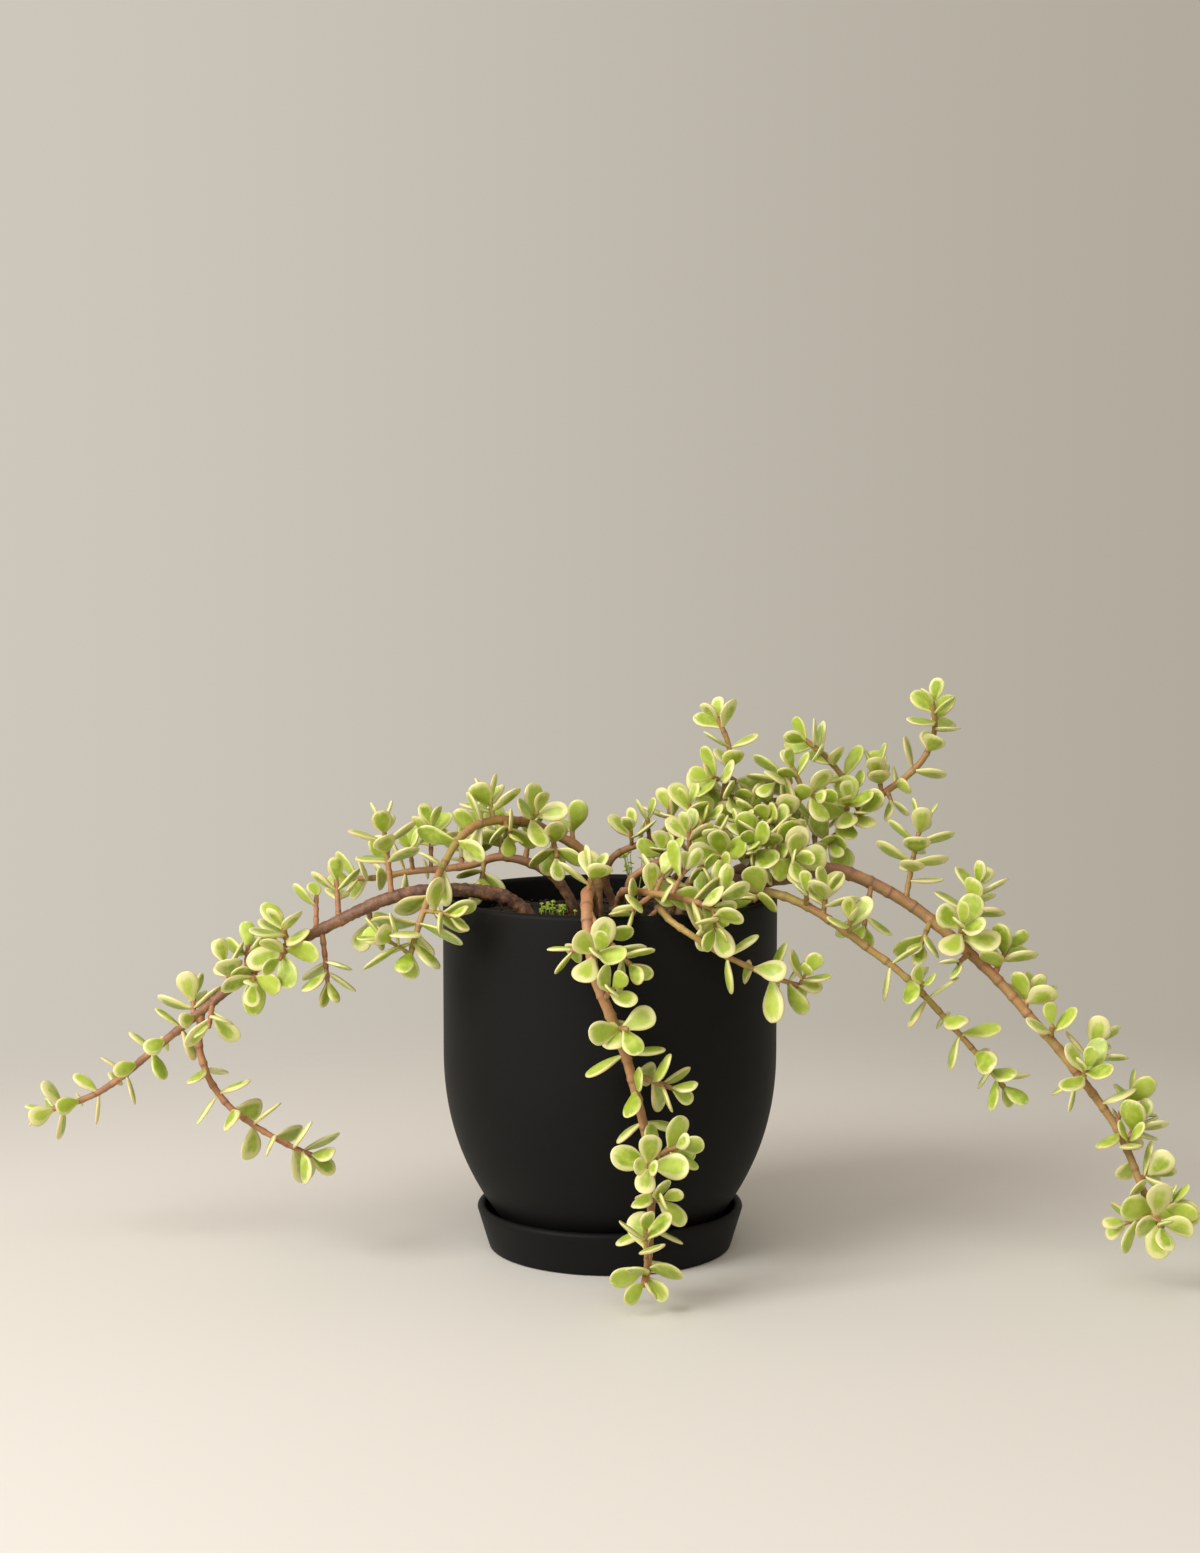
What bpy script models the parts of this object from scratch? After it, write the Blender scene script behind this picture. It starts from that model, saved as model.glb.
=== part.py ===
"""Trailing variegated elephant bush growing in a plain round-bottomed pot that stands on its saucer.

The tables hold millimetres, and MM turns them into metres where a mesh is made. The origin is the
centre of the saucer's underside, +Z is up, and the front of the plant faces -Y. Each leafy stem is
one solid: its bark, its side shoots and all its fleshy leaves are fused.
"""

import math
import random
from collections import namedtuple

import bmesh
import bpy
from mathutils import Matrix, Vector
from mathutils.bvhtree import BVHTree

MM = 0.001
GAP = 0.35

# Saucer: a shallow dish with a flat underside
SAUCER_BASE_RADIUS = 58.5
SAUCER_RIM_RADIUS = 64.0
SAUCER_HEIGHT = 21.0
SAUCER_FLOOR = 4.0
SAUCER_INSIDE_RADIUS = 57.0

# Pot: straight above its belly line, rounded in to a narrow foot below it
POT_RADIUS = 80.0
POT_RIM = 170.2
POT_BELLY_LINE = 95.0
POT_WALL = 4.5
POT_BASE = SAUCER_FLOOR + GAP
POT_FOOT_RADIUS = 46.0
POT_FOOT_RECESS = 2.0
POT_FLOOR = 11.5
DRAIN_RADIUS = 7.0

# Soil: potting mix filled to a little below the rim
SOIL_TOP = 158.5
SOIL_BUMP = 1.3
STEM_FOOT = 148.5
HOLE_PLAY = 1.2

TURN_SEGMENTS = 32

# Leaf: a fleshy spoon shape, narrow at its neck and widest past its middle
LEAF_LENGTH = 16.5
LEAF_ASPECT = 0.7
LEAF_THICKNESS = 2.3
LEAF_WIDEST = 0.66
LEAF_THICKEST = 0.42
LEAF_TIP_WIDTH = 0.46
LEAF_ROOT_DEPTH = 0.6
LEAF_CLEARANCE = 0.45
FLOOR_CLEARANCE = 1.5

# Growth: pairs of leaves stand crosswise to the pair before, closest and smallest at a tip
PAIR_SIZES = (0.66, 0.9, 1.03, 1.06, 1.02, 0.98, 0.94)
PAIR_ANGLES = (32, 56, 71, 79, 83, 85, 87)
PAIR_STEP = 4.6
STEM_PAIR_ANGLE = 70
MISSING_LEAF_SHARE = 0.08
UPRIGHT = 0.55
SHOOT_RADIUS = 1.35
SHOOT_TIP_RADIUS = 1.05
MAIN_SIDES = 5
SHOOT_SIDES = 4
MAIN_STEP = 15.0
KEPT_IN_EACH_SEVEN = (0, 3, 5)
SHOOT_STEP = 9.0

Limb = namedtuple("Limb", "route thick leafy spacing crown size shoots branches")
Tube = namedtuple("Tube", "points radii sides")
Leaf = namedtuple("Leaf", "place length width thickness curl stalk")


def limb(route, thick, leafy=0, spacing=11, crown=3, size=1.0, shoots=(), branches=()):
    """A stem: its route, its radii at foot and tip, the length from the tip that bears leaf pairs and their
    spacing, the pairs crowded at the tip, the size of these leaves, its short side shoots as (x, y, z, pairs)
    of their tips, and its long branches."""
    return Limb(route, thick, leafy, spacing, crown, size, shoots, branches)


LIMBS = {
    "stem_left_long": limb(
        [(-37, -24, STEM_FOOT), (-37, -24, 161.5), (-43, -27, 169.5), (-53, -30, 174), (-68, -34, 176.5), (-97, -36, 175),
         (-126, -36, 162.5), (-160, -34, 144), (-187, -30, 122.5), (-214, -26, 100.5), (-238, -22, 80.5),
         (-260, -18, 70.5), (-270, -17, 68)],
        (3.8, 1.3), leafy=84, spacing=9, crown=3, size=0.84,
        shoots=[(-106, -30, 208.5, 5), (-128, -30, 181.5, 3), (-152, -38, 161.5, 4), (-152, -50, 146.5, 3),
                (-131, -42, 133.5, 3), (-181, -30, 142.5, 3), (-165, -47, 134.5, 3), (-197, -22, 125.5, 3),
                (-186, -44, 113.5, 3), (-112, -24, 156.5, 2), (-138, -24, 172.5, 2), (-171, -20, 148.5, 2)],
        branches=[
            limb([(-192, -29, 117.5), (-194, -28, 103.5), (-192, -29, 94.5), (-187, -31, 83), (-177.5, -34, 72.5),
                  (-165, -38, 65), (-152, -42, 58.5), (-138, -46, 53.5)],
                 (1.9, 1.2), leafy=58, spacing=12, crown=3, size=1.12),
        ]),
    "stem_left_back": limb(
        [(-18, 14, STEM_FOOT), (-18, 14, 164.5), (-28, 14, 178.5), (-40, 14, 184.5), (-50, 16, 187.5),
         (-58, 17, 185.5), (-72, 18, 180.5), (-90, 20, 179.5), (-105, 20, 177.5), (-122, 18, 173.5), (-128, 16, 175.5)],
        (2.8, 1.3), leafy=26, spacing=10, crown=3,
        shoots=[(-87, 20, 201.5, 3), (-97, 14, 191.5, 2), (-53, 18, 198.5, 3), (-38, 18, 200.5, 3),
                (-72, 27, 191.5, 3), (-110, 26, 186.5, 2), (-62, 8, 175.5, 2), (-64, 28, 200.5, 2)]),
    "stem_arch_left": limb(
        [(-6, -6, STEM_FOOT), (-6, -6, 164.5), (-7, -6, 184.5), (-16, -7, 194.5), (-27, -9, 200.5), (-43, -14, 207.5),
         (-58, -22, 207.5), (-67, -30, 204.5), (-72, -37, 198.5), (-77, -44, 189.5), (-81, -50, 181.5), (-84, -54, 173.5),
         (-87, -58, 165.5), (-89, -61, 157.5), (-91, -63, 150.5)],
        (2.9, 1.4), leafy=90, spacing=17, crown=4, size=1.14,
        shoots=[(-57, -18, 218.5, 3), (-34, -22, 211.5, 3), (-25, -26, 190.5, 3), (-72, -66, 168.5, 3),
                (-105, -67, 159.5, 3), (-47, -24, 200.5, 2), (-18, -2, 205.5, 2)]),
    "stem_front_hanging": limb(
        [(-8, -37, STEM_FOOT), (-8, -37, 164.5), (-9, -50, 175.5), (-10, -66, 180.5), (-11, -82, 177.5),
         (-10, -92, 166.5), (-9, -95, 152.5), (-6, -96, 142.5), (-1, -96, 130.5), (4, -96, 118.5), (8, -96, 106),
         (11.5, -96, 92.5), (13.5, -96, 81.5), (16.5, -96, 72.5), (18, -97, 56.5), (18, -98, 44.5), (17.5, -100, 32.5),
         (17, -103, 22.5), (16, -107, 16), (15, -112, 13.6), (14.5, -117, 13.2)],
        (3.2, 1.7), leafy=118, spacing=17, crown=4,
        shoots=[(-8, -74, 190.5, 3), (-6, -108, 159.5, 3), (1, -108, 142.5, 2), (7, -112, 125.5, 3),
                (16, -112, 64.5, 3), (15, -113, 37.5, 3), (23, -106, 48.5, 2), (-18, -92, 156.5, 2),
                (30, -104, 71.5, 3)],
        branches=[
            limb([(-10, -86, 173.5), (-5, -94, 166.5), (2, -98, 157.5), (9, -101, 151.5)],
                 (1.5, 1.1), leafy=10, spacing=9, crown=3),
            limb([(11, -96, 102), (18, -98, 98), (28, -100, 96.5)], (1.6, 1.1), leafy=10, spacing=8, crown=3),
        ]),
    "stem_front_right": limb(
        [(4, -30, STEM_FOOT), (4, -30, 164.5), (4, -36, 173.5), (7, -51, 178.5), (15, -66, 179.5), (25, -76, 179.5),
         (36, -82, 178), (46, -85, 174.5)],
        (2.4, 1.4), leafy=24, spacing=9, crown=4,
        shoots=[(34, -68, 190.5, 3), (24, -66, 188.5, 2), (46, -96, 166.5, 3), (9, -80, 172.5, 2),
                (50, -76, 182.5, 2)]),
    "stem_front_thin": limb(
        [(22, -47, STEM_FOOT), (22, -47, 164.5), (21, -53, 170.5), (22, -65, 172.5), (23, -77, 172), (28, -88, 168),
         (36, -91, 163.5), (43, -89, 158.5), (52, -87, 153), (61, -83, 148.5), (68, -79, 144.5), (75, -75, 141.5),
         (85, -70, 137.5)],
        (1.8, 1.2), leafy=44, spacing=13, crown=4,
        shoots=[(14, -68, 165.5, 1), (50, -92, 162.5, 1), (88, -76, 144.5, 2)]),
    "stem_mid_upper": limb(
        [(2, 14, STEM_FOOT), (2, 14, 164.5), (-4, 8, 178.5), (-1, 6, 186.5), (8, 6, 191.5), (19, 7, 195), (31, 8, 196.5),
         (42, 9, 199.5)],
        (2.2, 1.3), leafy=22, spacing=9, crown=3, size=0.86,
        shoots=[(38, 4, 213.5, 3), (18, 4, 206.5, 1), (28, 14, 210.5, 2), (30, 20, 188.5, 2), (10, 2, 201.5, 2),
                (46, 0, 206.5, 2)]),
    "stem_mid_lower": limb(
        [(10, -7, STEM_FOOT), (10, -7, 164.5), (8, -12, 177.5), (15, -14, 184.5), (25, -16, 188), (37, -18, 190.5),
         (50, -19, 191.5), (62, -20, 191.5), (74, -22, 190.5), (82, -25, 189.5)],
        (2.4, 1.3), leafy=20, spacing=8, crown=4, size=0.9,
        shoots=[(37, -20, 203.5, 2), (51, -33, 191.5, 3), (62, -15, 203.5, 3), (86, -36, 191.5, 4), (73, -22, 204.5, 3),
                (24, -26, 194.5, 2), (66, -36, 198.5, 3), (50, -24, 202.5, 2), (81, -12, 203.5, 3), (43, -30, 185.5, 2)]),
    "stem_right_back": limb(
        [(34, 6, STEM_FOOT), (34, 6, 164.5), (39, 3, 177.5), (51, 3, 187.5), (67, 4, 195.5), (78, 4, 202.5), (87, 4, 208.5),
         (93, 4, 214.5), (92, 4, 222.5), (87, 4, 231.5)],
        (2.4, 1.2), leafy=24, spacing=9, crown=3, size=0.88,
        shoots=[(78, 2, 222.5, 5), (85, -10, 205.5, 3), (67, 2, 213.5, 3), (99, -3, 217.5, 2), (62, 12, 207.5, 3),
                (52, -2, 200.5, 2), (74, -8, 206.5, 3), (80, 14, 214.5, 2)]),
    "stem_right_low": limb(
        [(45, -13, STEM_FOOT), (45, -13, 164.5), (50, -21, 173.5), (62, -27, 176), (71, -31, 176), (81, -35, 174),
         (90, -38, 170.5), (103, -42, 162.5), (115, -45, 153.5), (126, -47, 146.5), (133, -48, 140.5), (143, -49, 131.5),
         (153, -50, 120.5), (161, -50, 111.5), (168, -51, 104), (175, -51, 95.5), (182, -51, 86.5)],
        (2.6, 1.2), leafy=66, spacing=12, crown=3,
        shoots=[(66, -43, 172.5, 3), (100, -42, 177.5, 3), (110, -50, 165.5, 2), (143, -56, 136.5, 1),
                (90, -48, 177.5, 1)]),
    "stem_right_long": limb(
        [(30, 20, STEM_FOOT), (30, 20, 164.5), (44, 9, 172.5), (61, -3, 177), (73, -8, 177.5), (88, -11, 180),
         (101, -13, 184.5), (110, -14, 183), (121, -16, 179), (130, -18, 174.5), (141, -21, 168.5),
         (150, -24, 161.5), (160, -28, 153.5), (169, -32, 145.5), (183, -38, 132.5), (191, -42, 122),
         (200, -46, 112.5), (208, -50, 103.5), (217, -54, 91), (226, -58, 79.5), (233, -62, 68.5), (238, -66, 56.5),
         (241, -71, 46.5), (243.5, -77, 39), (245, -84, 35), (245.5, -91, 33.5), (245, -97, 33.5)],
        (4.0, 1.5), leafy=62, spacing=15, crown=4, size=1.05,
        shoots=[(119, -27, 157.5, 2), (147, -14, 206.5, 7), (162, -44, 162.5, 4), (173, -26, 178.5, 4),
                (145, -34, 150.5, 2), (161, -44, 143.5, 1), (186, -32, 149.5, 4), (195, -40, 129.5, 3),
                (226, -46, 108.5, 3), (217, -62, 98.5, 3), (213, -52, 87.5, 1), (241, -52, 84.5, 3),
                (243, -60, 72.5, 4), (247, -68, 51.5, 3), (231, -84, 31.5, 2), (254, -82, 40.5, 2),
                (236, -68, 66.5, 2), (203, -54, 116.5, 2)]),
    "stem_upper_right": limb(
        [(46, 30, STEM_FOOT), (46, 30, 164.5), (58, 28, 176.5), (76, 25, 184.5), (92, 22, 187.5), (104, 21, 190.5),
         (113, 22, 197.5), (122, 24, 207.5), (130, 24, 214.5), (140, 24, 221), (150, 24, 228.5), (155.5, 24, 237.5),
         (158.5, 24, 246.5), (158, 22, 254.5), (156, 18, 261)],
        (2.9, 1.3), leafy=36, spacing=12, crown=4, size=0.97,
        shoots=[(130, 24, 229.5, 3), (137, 20, 212.5, 1), (114, 8, 214.5, 5), (106, 6, 193.5, 3), (88, 16, 200.5, 3),
                (104, 30, 202.5, 2), (98, 14, 205.5, 2), (121, 12, 207.5, 2)],
        branches=[
            limb([(122, 24, 207.5), (118, 20, 216.5), (114, 18, 224.5), (109, 17, 230.5), (102, 16, 237.5), (94, 14, 243.5)],
                 (1.7, 1.2), leafy=28, spacing=9, crown=3),
        ]),
    "stem_centre_up": limb(
        [(24, 36, STEM_FOOT), (24, 36, 164.5), (36, 26, 178.5), (48, 16, 190.5), (55, 12, 200.5), (54, 10, 212.5),
         (56, 10, 225.5), (59, 10, 234.5), (56.5, 10, 244.5), (51.5, 10, 254.5)],
        (2.4, 1.2), leafy=46, spacing=11, crown=2, size=0.97,
        shoots=[(48, 4, 226.5, 3), (66, 8, 209.5, 3), (60, 0, 216.5, 2), (44, 6, 212.5, 2), (65, 14, 221.5, 2)]),
}
LIMB_SEEDS = {name: 11 + 7 * count for count, name in enumerate(LIMBS)}


# Growth of one limb into tubes and leaves


def spline(points, step):
    """Points at about equal steps along a smooth curve through the route's own points."""
    route = [Vector(p) for p in points]
    ends = [2 * route[0] - route[1], *route, 2 * route[-1] - route[-2]]
    fine = []
    for a, b, c, d in zip(ends, ends[1:], ends[2:], ends[3:]):
        for share in (0, 0.2, 0.4, 0.6, 0.8):
            t, tt, ttt = share, share**2, share**3
            fine.append(0.5 * (2 * b + (c - a) * t + (2 * a - 5 * b + 4 * c - d) * tt
                               + (3 * b - a - 3 * c + d) * ttt))
    fine.append(route[-1])
    return spaced(fine, step)


def spaced(points, step):
    """The same line with its points a whole number of equal steps apart."""
    lengths = [0.0]
    for a, b in zip(points, points[1:]):
        lengths.append(lengths[-1] + (b - a).length)
    count = max(1, round(lengths[-1] / step))
    return [point_at(points, lengths, lengths[-1] * i / count) for i in range(count + 1)]


def point_at(points, lengths, distance):
    for i in range(1, len(points)):
        if distance <= lengths[i] or i == len(points) - 1:
            share = (distance - lengths[i - 1]) / max(lengths[i] - lengths[i - 1], 1e-9)
            return points[i - 1].lerp(points[i], min(share, 1.0))
    return points[-1]


def walk(points, distance_from_tip):
    """The point and the direction towards the tip, at a distance back from the tip."""
    left = distance_from_tip
    for a, b in zip(points[-2::-1], points[:0:-1]):
        span = (b - a).length
        if left <= span:
            return b.lerp(a, left / span), (b - a).normalized()
        left -= span
    return points[0].copy(), (points[1] - points[0]).normalized()


def line_length(points):
    return sum((b - a).length for a, b in zip(points, points[1:]))


def tapered(points, thick, sides):
    """A tube along the points whose radius falls evenly from thick[0] to thick[1]."""
    last = len(points) - 1
    return Tube(points, [thick[0] + (thick[1] - thick[0]) * i / last for i in range(last + 1)], sides)


def side_of(direction, roll):
    """A unit vector square to the direction, turned about it by roll from the level one."""
    level = direction.cross(Vector((0, 0, 1)))
    if level.length < 0.2:
        level = direction.cross(Vector((0, 1, 0)))
    return Matrix.Rotation(roll, 3, direction) @ level.normalized()


def leaf_at(point, direction, side, angle, size, radius, chance):
    """A leaf whose root is inside the stem, held at an angle to it with its upper face to the tip."""
    out = direction * math.cos(angle) + side * math.sin(angle)
    out = (out + Vector((0, 0, 0.07))).normalized()
    normal = (direction - direction.dot(out) * out).normalized()
    normal = Matrix.Rotation(chance.uniform(-0.35, 0.35), 3, out) @ normal
    across = normal.cross(out)
    place = Matrix.Translation(point + side * radius * 0.25) @ Matrix((out, across, normal)).transposed().to_4x4()
    length = LEAF_LENGTH * size * chance.uniform(0.88, 1.12) + radius
    width = LEAF_LENGTH * LEAF_ASPECT * size * chance.uniform(0.9, 1.1)
    thickness = LEAF_THICKNESS * (0.55 + 0.45 * size)
    return Leaf(place, length, width, thickness, chance.uniform(0.4, 1.6), radius)


def leaf_pair(point, direction, roll, angle, size, radius, space, chance):
    """Up to two opposite leaves, each tried in a few positions until it is clear of all that is there."""
    grown = []
    for turn in (0, math.pi):
        missing = chance.random() < MISSING_LEAF_SHARE
        seed = chance.random()
        if missing:
            continue
        for tries, (lift, swing, shrink) in enumerate(LEAF_TRIES):
            draw = random.Random(seed * 1000 + tries)
            side = side_of(direction, roll + turn + swing)
            leaf = leaf_at(point, direction, side, angle + lift, size * shrink, radius, draw)
            if space.has_room(leaf):
                space.add_leaf(leaf)
                grown.append(leaf)
                break
    return grown


LEAF_TRIES = (
    (0, 0, 1), (-0.25, 0, 1), (0.2, 0.3, 1), (-0.1, -0.35, 1), (-0.4, 0.2, 0.95), (0.1, 0.7, 0.9),
    (0.1, -0.7, 0.9), (-0.5, -0.3, 0.85), (0.3, 0.5, 0.8), (-0.2, -1.0, 0.8), (0, 0.2, 0.7), (-0.3, 1.2, 0.75),
)


def crowded_pairs(points, pairs, size, radius, space, chance):
    """The rosette at a tip: pairs of leaves closer and smaller towards the tip, each crosswise to the last."""
    roll = chance.uniform(0, math.pi)
    step = min(PAIR_STEP, max(line_length(points) - 2.5, 3.0) / pairs)
    grown = []
    for i in range(pairs):
        point, direction = walk(points, 0.9 + i * step)
        angle = math.radians(PAIR_ANGLES[min(i, 6)])
        grown += leaf_pair(point, direction, roll + i * math.pi / 2, angle, size * PAIR_SIZES[min(i, 6)],
                           radius, space, chance)
    return grown


def stem_pairs(tube, grown_limb, space, chance):
    """Pairs straight on the stem, from past its crowded tip back along its leafy length."""
    points, radii = tube.points, tube.radii
    total = line_length(points)
    crowded, spacing = PAIR_STEP * grown_limb.crown, grown_limb.spacing
    distance = crowded + spacing * 0.6
    turn = 0
    grown = []
    while distance < crowded + grown_limb.leafy:
        point, direction = walk(points, distance)
        radius = radii[-1] + (radii[0] - radii[-1]) * distance / total
        roll = math.pi / 2 * (turn % 2) + chance.uniform(-0.3, 0.3)
        angle = math.radians(STEM_PAIR_ANGLE + chance.uniform(-12, 12))
        size = grown_limb.size * chance.uniform(0.8, 1.02)
        grown += leaf_pair(point, direction, roll, angle, size, radius, space, chance)
        distance += spacing * chance.uniform(0.85, 1.15)
        turn += 1
    return grown


def shoot_tube(parent, tip):
    """A short side shoot to its tip, from the place on the parent that leaves it fairly upright."""
    tip = Vector(tip)
    line = spaced(parent.points, 3.0)
    apart = [((point - tip) * Vector((1, 1, UPRIGHT))).length for point in line]
    nearest = apart.index(min(apart))
    base = line[nearest]
    middle = base.lerp(tip, 0.5) + Vector((0, 0, 0.06 * (base - tip).length))
    here = parent.radii[0] + (parent.radii[-1] - parent.radii[0]) * nearest / (len(line) - 1)
    radius = min(SHOOT_RADIUS, 0.62 * here)
    return tapered(spaced([base, middle, tip], SHOOT_STEP), (radius, min(SHOOT_TIP_RADIUS, radius)), SHOOT_SIDES)


def tubes_of(grown_limb):
    """The limb's own tube first, then its shoots, then each branch's tubes in the same order."""
    main = tapered(spline(grown_limb.route, MAIN_STEP), grown_limb.thick, MAIN_SIDES)
    shoots = [shoot_tube(main, shoot[:3]) for shoot in grown_limb.shoots]
    return [main, shoots, [tubes_of(branch) for branch in grown_limb.branches]]


def flat(tubes):
    main, shoots, branches = tubes
    return [main, *shoots, *(tube for branch in branches for tube in flat(branch))]


def leaves_of(grown_limb, tubes, space, chance):
    main, shoots, branches = tubes
    grown = crowded_pairs(main.points, grown_limb.crown, grown_limb.size, main.radii[-1], space, chance)
    for shoot, tube in zip(grown_limb.shoots, shoots):
        grown += crowded_pairs(tube.points, shoot[3], 1.0, tube.radii[-1], space, chance)
    for branch, branch_tubes in zip(grown_limb.branches, branches):
        grown += leaves_of(branch, branch_tubes, space, chance)
    return grown + stem_pairs(main, grown_limb, space, chance)


def thinned(leaves, tip_leaves):
    """The leaves at the tip and an even share of the rest, because every leaf costs many faces."""
    return [leaf for i, leaf in enumerate(leaves) if i < tip_leaves or i % 7 in KEPT_IN_EACH_SEVEN]


class Space:
    """What is already there, so that a new leaf can be kept clear of it."""

    def __init__(self):
        self.taken = []

    def add(self, points, faces):
        centre = sum(points, Vector()) / len(points)
        reach = max((p - centre).length for p in points)
        self.taken.append((BVHTree.FromPolygons(points, faces), centre, reach))

    def add_leaf(self, leaf):
        self.add(*leaf_solid(leaf))

    def has_room(self, leaf):
        start = min(0.4 * leaf.length, leaf.stalk + 1.3)
        points, faces = leaf_solid(leaf, LEAF_CLEARANCE, start)
        if min(p.z for p in points) < FLOOR_CLEARANCE:
            return False
        centre = sum(points, Vector()) / len(points)
        reach = max((p - centre).length for p in points)
        tree = BVHTree.FromPolygons(points, faces)
        for other, other_centre, other_reach in self.taken:
            if (other_centre - centre).length < reach + other_reach and tree.overlap(other):
                return False
        return True


def leaf_solid(leaf, grow=0.0, start=None):
    """The leaf with few faces: a pointed root, four outline corners and a high point on each face."""
    length, half_width, half_depth = leaf.length, leaf.width / 2 + grow, leaf.thickness / 2 + grow
    root = -LEAF_ROOT_DEPTH if start is None else start

    def lifted(u):
        return leaf.curl * u * u

    corners = [
        (root, 0, 0),
        (LEAF_WIDEST * length, half_width, lifted(LEAF_WIDEST)),
        (length + grow, half_width * LEAF_TIP_WIDTH, lifted(1)),
        (length + grow, -half_width * LEAF_TIP_WIDTH, lifted(1)),
        (LEAF_WIDEST * length, -half_width, lifted(LEAF_WIDEST)),
        (LEAF_THICKEST * length, 0, lifted(LEAF_THICKEST) + half_depth),
        (LEAF_THICKEST * length, 0, lifted(LEAF_THICKEST) - half_depth),
    ]
    faces = []
    for i in range(5):
        faces.append((5, i, (i + 1) % 5))
        faces.append((6, (i + 1) % 5, i))
    return [leaf.place @ Vector(c) for c in corners], faces


def tube_solid(tube):
    """Rings along the tube, kept from twisting, with a flat cap at each end."""
    points, sides = tube.points, tube.sides
    directions = [(b - a).normalized() for a, b in zip(points, points[1:])]
    directions = [directions[0], *((a + b).normalized() for a, b in zip(directions, directions[1:])), directions[-1]]
    side = side_of(directions[0], 0.3)
    verts = []
    for point, direction, radius in zip(points, directions, tube.radii):
        side = (side - side.dot(direction) * direction).normalized()
        across = direction.cross(side)
        for k in range(sides):
            turn = 2 * math.pi * k / sides
            verts.append(point + (side * math.cos(turn) + across * math.sin(turn)) * radius)
    faces = []
    for i in range(len(points) - 1):
        for k in range(sides):
            near, far = i * sides, (i + 1) * sides
            faces.append((near + k, near + (k + 1) % sides, far + (k + 1) % sides, far + k))
    faces.append(tuple(range(sides))[::-1])
    faces.append(tuple(range(len(verts) - sides, len(verts))))
    return verts, faces


# Turned shapes


def bezier(start, first, second, end, count):
    """Count points along the curve after its start, the last of them its end."""
    found = []
    for i in range(1, count + 1):
        t = i / count
        weights = ((1 - t) ** 3, 3 * t * (1 - t) ** 2, 3 * t * t * (1 - t), t**3)
        found.append(tuple(sum(w * p[k] for w, p in zip(weights, (start, first, second, end))) for k in (0, 1)))
    return found


def belly(radius, foot_radius, foot_height, count):
    """The rounded lower wall, from its foot up to the belly line."""
    drop = POT_BELLY_LINE - foot_height
    return bezier((foot_radius, foot_height), (0.845 * radius, foot_height + 0.29 * drop),
                  (radius, foot_height + 0.58 * drop), (radius, POT_BELLY_LINE), count)


def saucer_profile():
    return [(0, 0), (SAUCER_BASE_RADIUS - 1, 0), (SAUCER_BASE_RADIUS, 1), (SAUCER_RIM_RADIUS, SAUCER_HEIGHT - 1.3),
            (SAUCER_RIM_RADIUS - 1.2, SAUCER_HEIGHT), (SAUCER_RIM_RADIUS - 3.2, SAUCER_HEIGHT),
            (SAUCER_RIM_RADIUS - 4.3, SAUCER_HEIGHT - 1.2), (SAUCER_INSIDE_RADIUS, SAUCER_FLOOR + 1.5),
            (SAUCER_INSIDE_RADIUS - 1.5, SAUCER_FLOOR), (0, SAUCER_FLOOR)]


def pot_inside(play, count):
    """The pot's inner wall from its floor up to the belly line, moved in by the play."""
    foot = (POT_FOOT_RADIUS - POT_WALL - play, POT_FLOOR + play)
    return [foot, *belly(POT_RADIUS - POT_WALL - play, *foot, count)]


def pot_profile():
    """A closed outline round the wall, starting under the drain hole's edge."""
    inner = POT_RADIUS - POT_WALL
    return [
        (DRAIN_RADIUS, POT_BASE + POT_FOOT_RECESS), (POT_FOOT_RADIUS - 6, POT_BASE + POT_FOOT_RECESS),
        (POT_FOOT_RADIUS - 4, POT_BASE), (POT_FOOT_RADIUS - 1, POT_BASE), (POT_FOOT_RADIUS, POT_BASE + 1.2),
        *belly(POT_RADIUS, POT_FOOT_RADIUS, POT_BASE + 1.2, 5),
        (POT_RADIUS, POT_RIM - 1.6), (POT_RADIUS - 1.4, POT_RIM), (inner + 1.4, POT_RIM), (inner, POT_RIM - 1.6),
        *pot_inside(0, 3)[::-1], (DRAIN_RADIUS, POT_FLOOR),
    ]


def soil_bump(x, y):
    return SOIL_BUMP * (math.sin(0.11 * x + 0.7) + math.cos(0.13 * y - 0.4) + 0.6 * math.sin(0.21 * (x + y)))


def soil_profile():
    inner = POT_RADIUS - POT_WALL - GAP - 0.15
    rings = [(inner, SOIL_TOP - 1.5), (inner * 0.75, SOIL_TOP), (inner * 0.4, SOIL_TOP)]
    return [(0, POT_FLOOR + GAP), *pot_inside(GAP + 0.15, 3), *rings, (0, SOIL_TOP)]


def turned(profile, closed=False):
    """The outline turned about the Z axis. One that starts and ends on the axis gets single points there."""
    verts, rings = [], []
    for radius, height in profile:
        if radius == 0:
            rings.append([len(verts)] * TURN_SEGMENTS)
            verts.append(Vector((0, 0, height)))
            continue
        rings.append(list(range(len(verts), len(verts) + TURN_SEGMENTS)))
        for k in range(TURN_SEGMENTS):
            turn = 2 * math.pi * k / TURN_SEGMENTS
            verts.append(Vector((radius * math.cos(turn), radius * math.sin(turn), height)))
    faces = []
    for low, high in zip(rings, rings[1:] + rings[:1] if closed else rings[1:]):
        for k in range(TURN_SEGMENTS):
            after = (k + 1) % TURN_SEGMENTS
            corners = (low[k], low[after], high[after], high[k])
            faces.append(tuple(dict.fromkeys(corners)))
    return verts, faces


# Objects and materials


def finish(name, colour, roughness):
    """A plain finish: base colour and roughness, no metal."""
    made = bpy.data.materials.new(name)
    made.use_nodes = True
    shader = made.node_tree.nodes["Principled BSDF"]
    shader.inputs["Base Color"].default_value = (*colour, 1)
    shader.inputs["Roughness"].default_value = roughness
    shader.inputs["Metallic"].default_value = 0
    return made


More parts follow.
